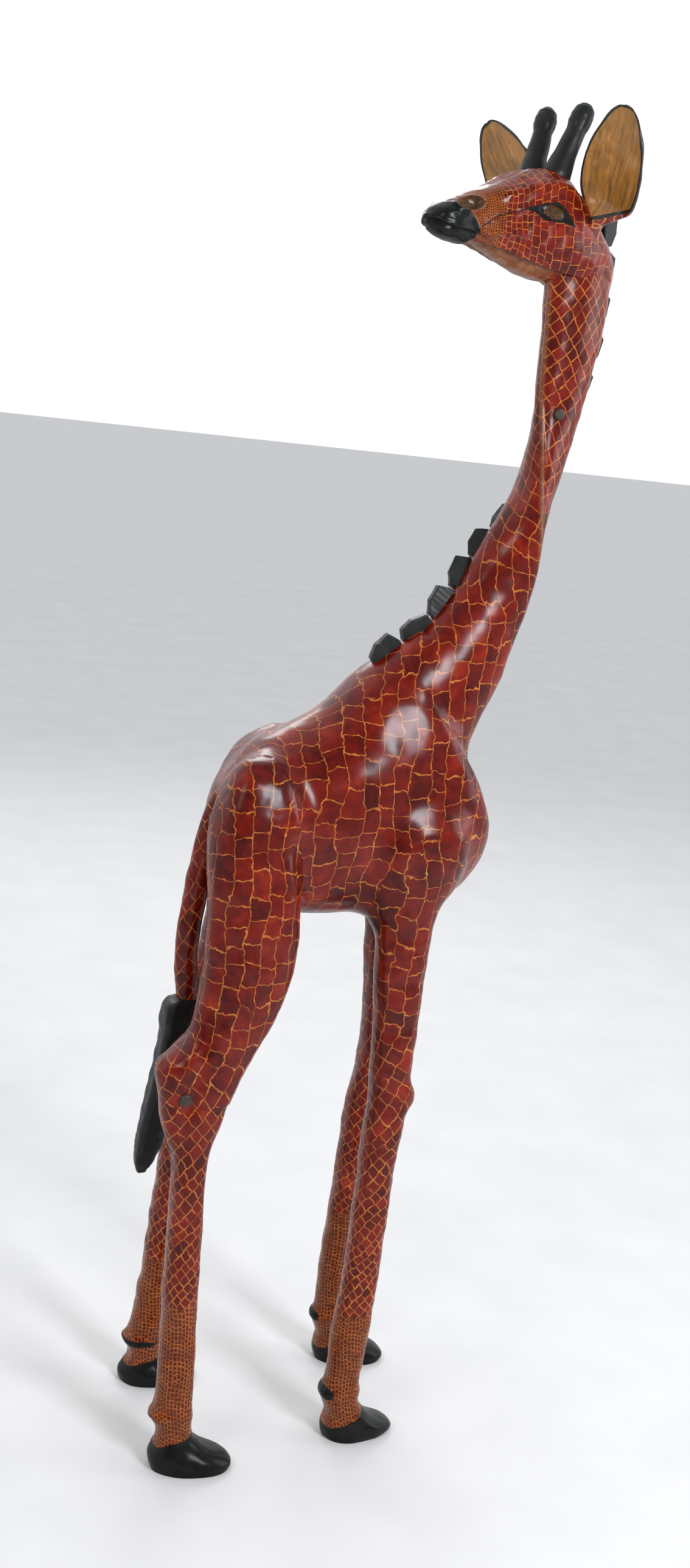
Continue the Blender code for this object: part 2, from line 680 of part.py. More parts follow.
body, neck_block = make_body()
head_block = make_head(neck_block)
make_mane(body, neck_block, head_block)
make_legs(body)
make_tail(body)
make_ears_and_horns(head_block)
make_neck_joints(body, neck_block, head_block)
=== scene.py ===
# %% [markdown]
# # A carved and painted giraffe
# This lesson dresses a wooden floor giraffe, almost two metres tall. The real one is put
# together from carved pieces of wood: a body with the lower half of its neck, an upper neck,
# a head, four legs, ears, horns, a tail and a row of notched mane blocks. Everything except
# the ears' faces is painted, most of it in dark red cells drawn round with a gold line, and
# then lacquered. The joints are glued, so every piece rides on the one body, "root".

# %% The fixed frame
import math

import bpy
import numpy as np
from mathutils import Matrix, Vector


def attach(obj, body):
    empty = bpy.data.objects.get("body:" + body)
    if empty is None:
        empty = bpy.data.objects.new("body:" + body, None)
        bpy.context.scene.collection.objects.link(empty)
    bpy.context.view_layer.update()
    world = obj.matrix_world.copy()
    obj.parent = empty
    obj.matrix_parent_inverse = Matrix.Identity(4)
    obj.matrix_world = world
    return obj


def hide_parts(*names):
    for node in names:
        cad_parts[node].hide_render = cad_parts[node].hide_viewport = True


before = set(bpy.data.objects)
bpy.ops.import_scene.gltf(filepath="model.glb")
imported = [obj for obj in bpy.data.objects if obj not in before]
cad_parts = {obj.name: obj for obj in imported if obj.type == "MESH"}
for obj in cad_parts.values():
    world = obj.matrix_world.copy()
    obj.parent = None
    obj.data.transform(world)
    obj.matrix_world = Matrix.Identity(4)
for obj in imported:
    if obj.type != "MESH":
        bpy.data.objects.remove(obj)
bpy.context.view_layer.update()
SHIFT = np.array([-0.0916, 0.0135, 0.0])     # from the carver's own axes to the middle of the box
print("the frame has", len(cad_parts), "nodes")


# %% [markdown]
# ## Curves, rings and skins
# A carver works from a few outlines. In the same way each piece here is a short table of
# stations, a smooth curve through them, and a ring of points at each place on that curve.
# Subdividing a box by hand could give the same shapes, but a table keeps the sizes in view.

# %% Tables, vectors and curves
def millimetres(*rows):
    """A table written in millimetres, as an array in metres."""
    return np.array(rows) / 1000


def columns(*parts):
    """Puts numbers and arrays side by side, as the last axis."""
    return np.stack(np.broadcast_arrays(*parts), -1)


def unit(vectors):
    """Vectors of length 1 that point the same way."""
    return vectors / np.linalg.norm(vectors, axis=-1, keepdims=True)


def through(rows, places):
    """Reads a table of stations at places counted in rows, on a Catmull-Rom curve:
    b + t/2 (c - a + t (2a - 5b + 4c - d + t (3(b - c) + d - a)))."""
    rows, places = np.asarray(rows, float), np.asarray(places, float)
    ends = np.vstack([2 * rows[0] - rows[1], rows, 2 * rows[-1] - rows[-2]])
    index = np.clip(places.astype(int), 0, len(rows) - 2)
    t = (places - index)[:, None]
    a, b, c, d = (ends[index + k] for k in range(4))
    return b + 0.5 * t * (c - a + t * (2 * a - 5 * b + 4 * c - d + t * (3 * (b - c) + d - a)))


def blend_step(value, low, high):
    """0 below low, 1 above high, and 3t^2 - 2t^3 between them."""
    t = np.clip((value - low) / (high - low), 0.0, 1.0)
    return t * t * (3 - 2 * t)


# %% Rings along a path
def sweep(centre, down, side, exponent, ridge, around):
    """Superellipse rings: centre + down u + side v (1 - ridge (1 + u) / 2), where u and v are
    the cosine and the sine of the angle, each to the power 2 / exponent with its sign kept."""
    angle = 2 * np.pi * np.arange(around) / around
    u = np.copysign(abs(np.cos(angle)) ** (2 / exponent), np.cos(angle))[None, :, None]
    v = np.copysign(abs(np.sin(angle)) ** (2 / exponent), np.sin(angle))[None, :, None]
    narrow = 1 - np.reshape(ridge, (-1, 1, 1)) * (0.5 + 0.5 * u)
    return centre[:, None] + down[:, None] * u + side[:, None] * v * narrow


def outward(grid):
    """Unit normals of a grid: the cross product of its differences along and around, turned
    so that they point away from the middles of the rings."""
    along = np.gradient(grid, axis=0)
    around = np.roll(grid, -1, 1) - np.roll(grid, 1, 1)
    normal = np.cross(around, along)
    normal /= np.maximum(np.linalg.norm(normal, axis=2, keepdims=True), 1e-12)
    away = grid - grid.mean(1, keepdims=True)
    return normal * np.sign((normal * away).sum())


def push(grid, amount):
    """Moves each point of a grid along its normal."""
    return grid + outward(grid) * np.asarray(amount)[..., None]


def wobble(points, size, seed, count=14):
    """A smooth uneven field: sine waves in random directions, about size long, in metres."""
    draw = np.random.default_rng(seed)
    waves = draw.normal(size=(count, 3))
    lengths = np.linalg.norm(waves, axis=1)
    waves *= (2 * np.pi / size * draw.uniform(0.6, 1.5, count) / lengths)[:, None]
    return np.sin(points @ waves.T + draw.uniform(0, 2 * np.pi, count)).sum(-1) / count ** 0.5


def knife(grid, depth=0.0007, size=0.045, seed=1):
    """The slow waves and the shorter ones that hand carving leaves under the paint."""
    slow, short = wobble(grid, size, seed), wobble(grid, size * 0.35, seed + 50)
    return push(grid, depth * slow + 0.3 * depth * short)


# %% [markdown]
# ## Unrolling the paint
# The cells are drawn by hand with the piece turned round in the lap, so they keep their size
# on every side. A flat projection would stretch them where the wood turns away. Each ring is
# unrolled instead: the distance round it is measured from the point that faces sideways, so
# the left and right halves meet in step along the spine, belly, shin and heel, and a leg's
# cells continue into the body's. The map is counted in cells, so they can shrink downwards.

# %% The paint map, counted in cells
TALL = 1.18                                  # the cells are this much taller than wide


def paint_map(grid, centre, way, size, turn, start, tall=TALL):
    """(u, v) = start + the sum of the centre's steps + arc x way, all over the cell size and
    turned. arc is the distance round the ring from its sideways point, towards the throat."""
    steps = np.linalg.norm(np.roll(grid, -1, 1) - grid, axis=2)
    arcs = np.concatenate([np.zeros((len(grid), 1)), np.cumsum(steps, 1)[:, :-1]], 1)
    around = grid.shape[1]
    quarter, last = arcs[:, around // 4, None], arcs[:, 3 * around // 4, None]
    arc = np.where(np.arange(around) <= around // 2, quarter - arcs, arcs - last)
    squash = np.array([1.0, 1.0 / tall])
    cos, sin = np.cos(turn), np.sin(turn)
    spin = np.stack([columns(cos, -sin), columns(sin, cos)], -2)
    size = size[:, None]
    path = np.diff(centre, axis=0) * squash / (0.5 * (size[1:] + size[:-1]))
    path = np.einsum("nij,nj->ni", spin[1:], path)
    middle = start + np.concatenate([np.zeros((1, 2)), np.cumsum(path, 0)])
    reach = np.einsum("nij,nj->ni", spin, way * squash / size)
    return middle[:, None] + arc[..., None] * reach[:, None]


# %% From a grid to an object
def rounded(grid, first, last, rings):
    """Adds shrinking rings at both ends, along a quarter of an ellipse of that depth."""
    angle = np.linspace(0, np.pi / 2, rings + 2)[1:-1]

    def cap(edge, before, depth):
        middle = edge.mean(0)
        out = unit(middle - before.mean(0))
        return (middle + (edge - middle) * np.cos(angle)[:, None, None]
                + out * (depth * np.sin(angle))[:, None, None])
    return np.concatenate([cap(grid[0], grid[1], first)[::-1], grid, cap(grid[-1], grid[-2], last)])


def skin(name, finish, grid, paint=None, marks=None, nodes=None, sharp=50, caps=None):
    """A closed mesh over a grid of rings, with a fan of triangles over each end. paint is a
    (u, v) for each point, and marks are named numbers for each point. caps are the two depths
    and the count of the rings that round the ends, and take the nearest ring's paint."""
    shape, nearest = grid.shape[:2], np.arange(len(grid))
    if caps:
        grid, nearest = rounded(grid, *caps), np.pad(nearest, caps[2], mode="edge")
    rings, around = grid.shape[:2]
    number = np.arange(rings * around).reshape(rings, around)
    beside = np.roll(number, -1, 1)
    quads = columns(number[:-1], beside[:-1], beside[1:], number[1:]).reshape(-1, 4)
    first = columns(beside[0], number[0], rings * around)
    last = columns(number[-1], beside[-1], rings * around + 1)

    def with_poles(values):
        flat = values.reshape(rings * around, -1)
        return np.vstack([flat, values[0].mean(0), values[-1].mean(0)])

    points = with_poles(grid + SHIFT)
    a, b, c, d = (points[quads[:, k]] for k in range(4))
    inside_out = (np.cross(c - a, d - b) * (a + b + c + d)).sum() < 0
    faces = [part[:, ::-1] if inside_out else part for part in (quads, first, last)]
    mesh = bpy.data.meshes.new(name)
    mesh.from_pydata(points.tolist(), [], [face for part in faces for face in part.tolist()])
    corners = np.zeros(len(mesh.loops), int)
    mesh.loops.foreach_get("vertex_index", corners)
    if paint is not None:
        layer = mesh.uv_layers.new(name="paint")
        layer.data.foreach_set("uv", with_poles(paint[nearest])[corners].astype(np.float32).ravel())
    for mark, values in (marks or {}).items():
        field = mesh.attributes.new(mark, "FLOAT", "POINT")
        values = with_poles(np.broadcast_to(values, shape)[nearest])
        field.data.foreach_set("value", values.astype(np.float32).ravel())
    mesh.shade_smooth()
    mesh.set_sharp_from_angle(angle=math.radians(sharp))
    mesh.materials.append(finish)
    piece = bpy.data.objects.new(name, mesh)
    bpy.context.scene.collection.objects.link(piece)
    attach(piece, "root")
    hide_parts(*(nodes or [name.removesuffix("_carved")]))


# %% [markdown]
# ## Where two pieces meet
# The legs are let into pockets and the joint is carved flush, so the body swells up to meet
# them. A Boolean union would lose the separate pieces. Instead both surfaces rise a little
# where they come close, which is the sum that a smooth union makes.

# %% A carved fillet
def height_over(grid, other):
    """Height of each point over another surface, along the normal of its nearest vertex."""
    there, out = other[::2, ::2].reshape(-1, 3), outward(other)[::2, ::2].reshape(-1, 3)
    points = grid.reshape(-1, 3)
    low, high = there.min(0) - 0.05, there.max(0) + 0.05
    close = np.flatnonzero(((points > low) & (points < high)).all(1))
    height = np.full(len(points), 1.0)
    there_squared = (there ** 2).sum(1)
    for part in np.array_split(close, max(1, len(close) // 400)):
        chosen = points[part]
        nearest = (there_squared - 2 * chosen @ there.T).argmin(1)
        height[part] = ((chosen - there[nearest]) * out[nearest]).sum(1)
    return height.reshape(grid.shape[:2])


def fillet(grid, other, reach):
    """Raises a surface by (reach - b)^2 / (4 reach), where b is its height over the other."""
    reach = np.broadcast_to(reach, grid.shape[:2])
    height = np.clip(height_over(grid, other), 0, reach)
    return push(grid, (reach - height) ** 2 / (4 * reach))


# %% [markdown]
# ## Shader sums
# Paint is layers of masks. Written as node links they are hard to read, so a small class
# wraps a socket and turns Python's signs into Math nodes.

# %% A socket that does sums
def maths(operation, swapped=False):
    """A method that adds one Math node, for one of Python's signs."""
    def method(self, other=0.0):
        first, second = (other, self) if swapped else (self, other)
        return self.finish.node("ShaderNodeMath", {"operation": operation}, {0: first, 1: second})
    return method


class Sum:
    """A socket of a material, used in sums with numbers and with other sockets."""
    __add__ = __radd__ = maths("ADD")
    __mul__ = __rmul__ = maths("MULTIPLY")
    __sub__, __rsub__ = maths("SUBTRACT"), maths("SUBTRACT", swapped=True)
    __truediv__ = maths("DIVIDE")
    smaller, floor = maths("MINIMUM"), maths("FLOOR")

    def __init__(self, finish, socket):
        self.finish, self.socket = finish, socket

    def smooth(self, low, high):
        """0 below low, 1 above high, with a soft step between them."""
        return self.finish.node("ShaderNodeMapRange", {"interpolation_type": "SMOOTHSTEP"},
                                {"Value": self, "From Min": low, "From Max": high})


class Finish:
    """One material. node() adds any node, and paint() sets the Principled shader's sockets."""

    def __init__(self, name):
        self.material = bpy.data.materials.new(name)
        self.material.use_nodes = True
        self.tree = self.material.node_tree
        self.shader = self.tree.nodes["Principled BSDF"]

    def node(self, kind, settings=None, values=None, output=0):
        """A node of that kind: its settings first, then the values or links of its sockets."""
        node = self.tree.nodes.new(kind)
        for key, value in (settings or {}).items():
            if key == "stops":
                ramp = node.color_ramp.elements
                while len(ramp) < len(value):
                    ramp.new(0.5)
                for stop, (place, colour) in zip(ramp, value):
                    stop.position, stop.color = place, (*colour, 1.0)
            else:
                setattr(node, key, value)
        for key, value in (values or {}).items():
            self.feed(node.inputs[key], value)
        return Sum(self, node.outputs[output])

    def feed(self, socket, value):
        if isinstance(value, Sum):
            self.tree.links.new(value.socket, socket)
        elif isinstance(value, tuple) and len(value) == 3 and socket.type == "RGBA":
            socket.default_value = (*value, 1.0)
        else:
            socket.default_value = value

    def paint(self, **sockets):
        for name, value in sockets.items():
            self.feed(self.shader.inputs[name.replace("_", " ")], value)

    def place(self):
        return self.node("ShaderNodeTexCoord", output="Object")

    def mark(self, name):
        return self.node("ShaderNodeAttribute", {"attribute_name": name}, output="Fac")

    def noise(self, vector, scale, detail=2.0, output=0):
        """Soft noise of 0 to 1, with about scale lumps to the metre."""
        return self.node("ShaderNodeTexNoise", {},
                         {"Vector": vector, "Scale": scale, "Detail": detail}, output)

    def white(self, **where):
        """A number that changes at random with W, or with a vector of two."""
        kind = {"noise_dimensions": "1D" if "W" in where else "2D"}
        return self.node("ShaderNodeTexWhiteNoise", kind, where)

    def turned(self, vector, turn, scale):
        """A vector turned about Z, in radians, and scaled."""
        return self.node("ShaderNodeMapping", {},
                         {"Vector": vector, "Rotation": (0.0, 0.0, turn), "Scale": scale})

    def uneven(self, vector, scale, detail):
        """A random vector, each part of it from -0.5 to 0.5."""
        return self.vector("SUBTRACT", self.noise(vector, scale, detail, "Color"), (0.5, 0.5, 0.5))

    def parts(self, vector):
        """The x and y of a vector."""
        split = self.node("ShaderNodeSeparateXYZ", {}, {0: vector}).socket.node
        return Sum(self, split.outputs[0]), Sum(self, split.outputs[1])

    def join(self, x, y):
        return self.node("ShaderNodeCombineXYZ", {}, {0: x, 1: y})

    def mix(self, factor, a, b):
        """Colour a where factor is 0 and colour b where it is 1."""
        return self.node("ShaderNodeMix", {"data_type": "RGBA"}, {0: factor, 6: a, 7: b}, output=2)

    def vector(self, operation, a, b):
        key = "Scale" if operation == "SCALE" else 1
        return self.node("ShaderNodeVectorMath", {"operation": operation}, {0: a, key: b})

    def ramp(self, factor, *stops):
        return self.node("ShaderNodeValToRGB", {"stops": stops}, {"Fac": factor})

    def relief(self, height):
        """A bump whose height is in metres."""
        return self.node("ShaderNodeBump", {}, {"Height": height, "Distance": 1.0, "Strength": 1.0})


# %% [markdown]
# ## The painted cells
# On the real giraffe every cell is a dab of dark red, uneven inside, and the line round it is
# gold, under two millimetres wide. The painter draws long lines one way first, and then short
# ones across each strip, so the lines meet in T's. A Voronoi texture would give honeycomb, so
# the grid is made from sums: strips from one coordinate, and in each strip its own rows. Low
# on the legs and on the muzzle the same grid shrinks to tiny bricks on an orange ground.

# %% Lacquered paint
def distance_to_line(finish, where, step):
    """Distance from the nearest line, in cells, and a number that each cell has. The strips
    are at whole x; in each strip y gains step x (a random number + a slow wave)."""
    across, along = finish.parts(where)
    strip = across.floor()
    own = finish.white(W=strip)
    wave = finish.noise(finish.join(strip * 7.3, along * 0.55), 1.0, 0.0)
    along = along + step * (own + 0.9 * wave)
    row = along.floor()
    number = finish.white(Vector=finish.join(strip, row))
    x, y = across - strip, along - row
    return x.smaller(1 - x).smaller(y.smaller(1 - y)), number


def lacquered_cells(name, turn, line_width):
    """turn straightens the bricks, in radians, where the cells beside them are diamonds."""
    finish = Finish(name)
    place, paint = finish.place(), finish.node("ShaderNodeUVMap", {"uv_map": "paint"})
    drift = finish.vector("SCALE", finish.uneven(place, 13.0, 1.0), 1.5)
    tremor = finish.vector("SCALE", finish.uneven(place, 85.0, 2.0), 0.42)
    where = finish.vector("ADD", finish.vector("ADD", paint, drift), tremor)
    edge, dab = distance_to_line(finish, where, finish.mark("step"))
    half = line_width * (0.5 + finish.noise(place, 55.0))
    thin = finish.noise(place, 62.0, 2.0).smooth(0.32, 0.5)
    line = (1 - (edge * finish.mark("cell") / half).smooth(0.65, 1.25)) * (0.35 + 0.65 * thin)

    brush = finish.noise(place, 70.0, 4.0)
    cloud = finish.noise(place, 21.0, 2.0)
    streak = finish.noise(place, 380.0, 3.0)
    depth = 0.3 * dab + 0.75 * brush + 0.55 * cloud - 0.38 + 0.1 * streak
    cell = finish.ramp(depth, (0.0, (0.026, 0.0011, 0.0005)), (0.28, (0.066, 0.0021, 0.0006)),
                       (0.6, (0.16, 0.006, 0.0009)), (0.95, (0.32, 0.022, 0.0025)))
    gold = finish.ramp(finish.noise(place, 90.0, 3.0), (0.3, (0.3, 0.072, 0.01)),
                       (0.7, (0.58, 0.2, 0.038)))
    cells = finish.mix(line, cell, gold)

    straight = finish.turned(where, turn, (1.75, 2.05, 1.0))
    close, number = distance_to_line(finish, straight, 1.0)
    brick = (close / (0.09 + 0.14 * finish.noise(place, 150.0))).smooth(0.75, 1.25)
    ground = finish.ramp(brush, (0.3, (0.17, 0.038, 0.004)), (0.7, (0.37, 0.1, 0.012)))
    dark = finish.ramp(0.6 * number + 0.4 * streak,
                       (0.2, (0.034, 0.0028, 0.0012)), (0.8, (0.115, 0.0066, 0.0018)))
    bricks = finish.mix(brick * (0.8 + 0.2 * number.smooth(0.05, 0.3)), ground, dark)
    fine = finish.mark("fine") + 0.7 * (finish.noise(place, 95.0) - 0.5)
    colour = finish.mix(fine.smooth(0.44, 0.56), cells, bricks)

    # lighter paint: faded paint under the jaw, and a painted highlight along the throat's keel
    worn_and_highlight = finish.ramp(brush, (0.3, (0.14, 0.045, 0.018)), (0.7, (0.32, 0.135, 0.06)))
    colour = finish.mix(finish.mark("faded"), colour, worn_and_highlight)
    # dark brown of the nostrils and eyeballs, and a painted shadow line along the jaw under the
    # cheek's overhang
    eye_nostril_and_shadow_paint = finish.ramp(streak, (0.3, (0.022, 0.01, 0.004)), (0.7, (0.1, 0.046, 0.015)))
    colour = finish.mix(finish.mark("brown"), colour, eye_nostril_and_shadow_paint)
    soot = finish.ramp(brush, (0.25, (0.003, 0.0035, 0.003)), (0.8, (0.01, 0.011, 0.01)))
    black = finish.mark("black")
    colour = finish.mix(black.smooth(0.4, 0.6), colour, soot)
    finish.paint(Base_Color=colour, Roughness=0.4 + 0.18 * brush, Specular_IOR_Level=0.05,
                 Coat_Weight=0.34 + 0.42 * cloud - 0.25 * black, Coat_Roughness=0.2, Coat_IOR=1.45,
                 Normal=finish.relief(0.00014 * line + 0.00022 * brush + 0.00005 * streak))
    return finish.material


PAINT = lacquered_cells("lacquered_cells", math.radians(-45), 0.0007)
FACE_PAINT = lacquered_cells("lacquered_face", 0.0, 0.00048)


# %% [markdown]
# ## Black, ear wood, plugs and dowels
# The horns, mane and tuft are stained black and rubbed, so their edges shine grey. The ears'
# faces are bare golden wood under varnish, with a black rim. The plugs are dark end grain.

# %% The other finishes
def black_stain():
    finish = Finish("black_stain")
    place = finish.place()
    grain = finish.noise(finish.turned(place, 0.0, (1.0, 1.0, 0.12)), 420.0, 4.0)
    rubbed = finish.noise(place, 45.0, 3.0)
    colour = finish.ramp(grain * 0.5 + rubbed * 0.5, (0.34, (0.004, 0.0045, 0.004)),
                         (0.55, (0.0065, 0.0073, 0.0067)), (0.75, (0.017, 0.019, 0.018)))
    finish.paint(Base_Color=colour, Roughness=0.42 + 0.22 * grain, Specular_IOR_Level=0.25,
                 Coat_Weight=0.15, Coat_Roughness=0.25,
                 Normal=finish.relief(0.00012 * grain + 0.0002 * rubbed))
    return finish.material


def varnished_wood():
    finish = Finish("varnished_wood")
    place = finish.place()
    flow = finish.node("ShaderNodeUVMap", {"uv_map": "paint"})
    bend = finish.vector("SCALE", finish.noise(place, 16.0, 2.0, "Color"), 0.016)
    stretched = finish.turned(finish.vector("ADD", flow, bend), 0.35, (1.0, 0.11, 1.0))
    streak = finish.noise(stretched, 190.0, 5.0)
    pore = finish.noise(stretched, 900.0, 2.0)
    cloud = finish.noise(place, 38.0, 3.0)
    wood = finish.ramp(0.62 * streak + 0.38 * cloud,
                       (0.32, (0.15, 0.07, 0.016)), (0.47, (0.33, 0.15, 0.028)),
                       (0.58, (0.47, 0.205, 0.04)), (0.74, (0.6, 0.3, 0.075)))
    wood = finish.mix((1 - pore.smooth(0.3, 0.42)) * 0.6, wood, (0.11, 0.048, 0.013))
    brush = finish.noise(place, 70.0, 4.0)
    red = finish.ramp(brush, (0.3, (0.088, 0.0038, 0.0016)), (0.7, (0.25, 0.014, 0.003)))
    cells = finish.node("ShaderNodeTexVoronoi", {"feature": "DISTANCE_TO_EDGE"},
                        {"Vector": place, "Scale": 52.0, "Randomness": 0.6})
    red = finish.mix(1 - cells.smooth(0.03, 0.06), red, (0.58, 0.19, 0.035))
    colour = finish.mix(finish.mark("back").smooth(0.4, 0.6), wood, red)
    colour = finish.mix(finish.mark("rim").smooth(0.4, 0.6), colour, (0.0065, 0.007, 0.0062))
    finish.paint(Base_Color=colour, Roughness=0.36 + 0.14 * streak, Coat_Weight=0.45,
                 Coat_Roughness=0.16, Normal=finish.relief(0.0001 * streak + 0.00006 * pore))
    return finish.material


def end_grain(name, dark, light, roughness):
    finish = Finish(name)
    place = finish.place()
    fibre = finish.noise(place, 900.0, 3.0)
    cloud = finish.noise(place, 120.0, 3.0)
    finish.paint(Base_Color=finish.ramp(0.5 * fibre + 0.5 * cloud, (0.35, dark), (0.65, light)),
                 Roughness=roughness + 0.2 * fibre, Normal=finish.relief(0.00008 * fibre))
    return finish.material


BLACK = black_stain()
EAR_WOOD = varnished_wood()
PLUG = end_grain("dark_plug", (0.012, 0.007, 0.005), (0.06, 0.034, 0.022), 0.38)
BARE = end_grain("dowel_wood", (0.26, 0.15, 0.07), (0.45, 0.29, 0.15), 0.6)


# %% [markdown]
# ## The body and the neck
# The body is one block with the lower neck. Its ribs fan from the rump round to the withers
# and the throat, and then the rings climb the neck and twist, because the giraffe looks back
# over its right shoulder. The keel down the throat shows the twist, and is left as a ridge,
# painted in a lighter colour along its edge as a painted highlight.

# %% Stations of the body and the neck
# back x, back z, belly x, belly z, half width
RIBS = millimetres(
    (-123, 898, -124, 862, 20), (-114, 931, -119, 815, 50), (-96, 960, -104, 780, 73),
    (-68, 993, -70, 764, 87), (-30, 1013, -20, 758, 96), (12, 1038, 40, 758, 100),
    (42, 1069, 105, 763, 100), (58, 1090, 175, 773, 97), (70, 1102, 232, 792, 92),
    (79, 1109, 268, 838, 86), (88, 1115, 275, 885, 80), (98, 1123, 262, 927, 73),
    (108, 1131, 238, 961, 66), (120, 1141, 230, 992, 60), (134, 1153, 241, 1035, 55),
)
# x, z, half depth, half width, heading of the throat
NECK = (
    (0.2065, 1.128, 0.067, 0.05, 0.0), (0.239, 1.203, 0.053, 0.043, -10.0),
    (0.2595, 1.268, 0.043, 0.038, -45.0), (0.281, 1.343, 0.04, 0.033, -95.0),
    (0.2925, 1.414, 0.041, 0.033, -123.0), (0.2975, 1.48, 0.044, 0.035, -142.0),
    (0.301, 1.548, 0.049, 0.038, -150.0), (0.301, 1.611, 0.055, 0.04, -150.0),
    (0.296, 1.68, 0.058, 0.04, -152.0), (0.289, 1.742, 0.054, 0.038, -154.0),
)
# where the neck's rings start, where its two blocks meet and where it ends, counted in rows
NECK_START, NECK_JOINT, NECK_TOP = 0.28, 4.35, 7.8
BODY_CELL, NECK_CELL, HIGH_CELL = 0.025, 0.0172, 0.0118


def neck_path(places):
    """Centre, vector to the throat, vector to the side and tangent at places on the neck."""
    places = np.asarray(places, float)
    x, z, depth, width, heading = through(NECK, places).T
    tangent = (through(NECK, places + 0.02) - through(NECK, places - 0.02))[:, [0, 4, 1]]
    tangent[:, 1] = 0.0
    tangent = unit(tangent)
    heading = np.radians(heading)
    throat = columns(np.cos(heading), np.sin(heading), 0.0)
    throat = unit(throat - tangent * (throat * tangent).sum(1, keepdims=True))
    side = np.cross(tangent, throat) * width[:, None]
    return columns(x, 0.0, z), throat * depth[:, None], side, tangent


def rib_path(places):
    """Centre, vector to the belly and vector to the side at places on the ribs."""
    centre, throat, _, _ = neck_path([0.02])
    back, belly = (centre - throat)[0], (centre + throat)[0]
    ribs = np.vstack([RIBS, (back[0], back[2], belly[0], belly[2], NECK[0][3])])
    back_x, back_z, belly_x, belly_z, width = through(ribs, places).T
    top, bottom = columns(back_x, 0.0, back_z), columns(belly_x, 0.0, belly_z)
    return (top + bottom) / 2, (bottom - top) / 2, columns(0.0, width, 0.0)


# %% The two neck blocks as grids
AROUND, RIB_RINGS, LOW_RINGS, HIGH_RINGS = 144, 150, 110, 130
BODY_RINGS = RIB_RINGS + LOW_RINGS
BODY_POWER, NECK_POWER = 2.25, 2.1           # the exponents of the superellipses
RIDGE = 0.32                                 # how much the throat is narrower than the nape

ribs = rib_path(np.linspace(0, len(RIBS), RIB_RINGS))
low_neck = neck_path(np.linspace(NECK_START, NECK_JOINT, LOW_RINGS))
high_neck = neck_path(np.linspace(NECK_JOINT, NECK_TOP, HIGH_RINGS))
rib_ridge = RIDGE * np.maximum(0.0, np.linspace(0, 33 / 34, RIB_RINGS) - 0.75)
low_ridge = RIDGE * np.minimum(1.0, 0.25 + np.linspace(0, 11 / 8, LOW_RINGS))
body_grid = np.concatenate([sweep(*ribs, BODY_POWER, rib_ridge, AROUND),
                            sweep(*low_neck[:3], NECK_POWER, low_ridge, AROUND)])
neck_grid = sweep(*high_neck[:3], NECK_POWER, np.full(HIGH_RINGS, RIDGE), AROUND)

# the paint runs on from the body to the neck, and up_neck is 0 on the body, 1 at the joint
centres = np.concatenate([ribs[0], low_neck[0], high_neck[0]])[:, [0, 2]]
neck_tangent = np.concatenate([low_neck[3], high_neck[3]])
neck_way = columns(neck_tangent[:, 2], -neck_tangent[:, 0])
up_neck = np.concatenate([np.zeros(RIB_RINGS), np.linspace(0, 1, LOW_RINGS),
                          np.linspace(1, 2, HIGH_RINGS)])
body_cells = np.interp(up_neck, (0, 1, 2), (BODY_CELL, NECK_CELL, HIGH_CELL))
both_paint = paint_map(np.concatenate([body_grid, neck_grid]), centres,
                       np.concatenate([unit(ribs[1])[:, [0, 2]], neck_way]), body_cells,
                       math.radians(45) * blend_step(up_neck, 0.15, 0.8),
                       centres[0] / BODY_CELL / (1, TALL))
body_paint, neck_paint = both_paint[:BODY_RINGS], both_paint[BODY_RINGS:]
print("body and neck:", body_grid.shape, neck_grid.shape)


# %% [markdown]
# ## The legs
# Each hind leg is a thigh on a shank, pinned at the hock. Each foreleg is one stick of wood
# with a carved knee. The hooves are cut from the same wood and painted black, and so is a
# dewclaw behind each of three feet. One table serves both hind legs and one both forelegs, and
# the stance sets each leg over, since no two feet of a hand-carved animal stand alike.

# %% Stations of the legs
# height, rear x, front x, half width
HIND_LEG = millimetres(
    (0, -149, -41, 34), (8, -152, -38, 35.5), (18, -153, -50, 34.5), (28, -149, -75, 31.5),
    (42, -145, -94, 26.5), (60, -147, -98, 25), (77, -158, -97, 26), (92, -152, -99, 24),
    (130, -150, -101, 23.5), (250, -153, -105, 25), (400, -155, -109, 27), (446, -159, -107, 29),
    (490, -176, -96, 32), (530, -183, -82, 35), (568, -188, -67, 37), (585, -176, -59, 38),
    (608, -153, -48, 39.5), (640, -142, -32, 41), (700, -136, -15, 43), (780, -137, -12, 44),
    (850, -138, -22, 43), (910, -132, -40, 39), (955, -120, -58, 29), (978, -102, -72, 12),
)
HOCK = 0.522
FORE_LEG = millimetres(
    (0, 117, 219, 32), (8, 114, 223, 33.5), (18, 113, 211, 33), (28, 114, 190, 30.5),
    (42, 116, 171, 26.5), (60, 110, 162, 25), (75, 104, 163, 26), (95, 111, 161, 24),
    (150, 113, 165, 24), (250, 120, 170, 25), (380, 124, 173, 26), (450, 124, 176, 27.5),
    (487, 126, 181, 29), (518, 126, 191, 30), (550, 125, 181, 29), (620, 121, 183, 29),
    (700, 113, 184, 31), (780, 106, 190, 34), (840, 108, 200, 35), (885, 120, 202, 29),
    (908, 140, 185, 12),
)
# sideways at the top and the sole, forward at the sole and the top, foot height, toe turn
STANCE = {
    "hind_right": (-0.078, -0.139, 0.0, 0.0, 1.0, -6.0),
    "hind_left": (0.074, 0.09, 0.006, 0.05, 0.75, 4.0),
    "fore_right": (-0.066, -0.095, -0.002, 0.0, 0.9, 15.0),
    "fore_left": (0.066, 0.119, 0.054, 0.043, 1.0, -6.0),
}
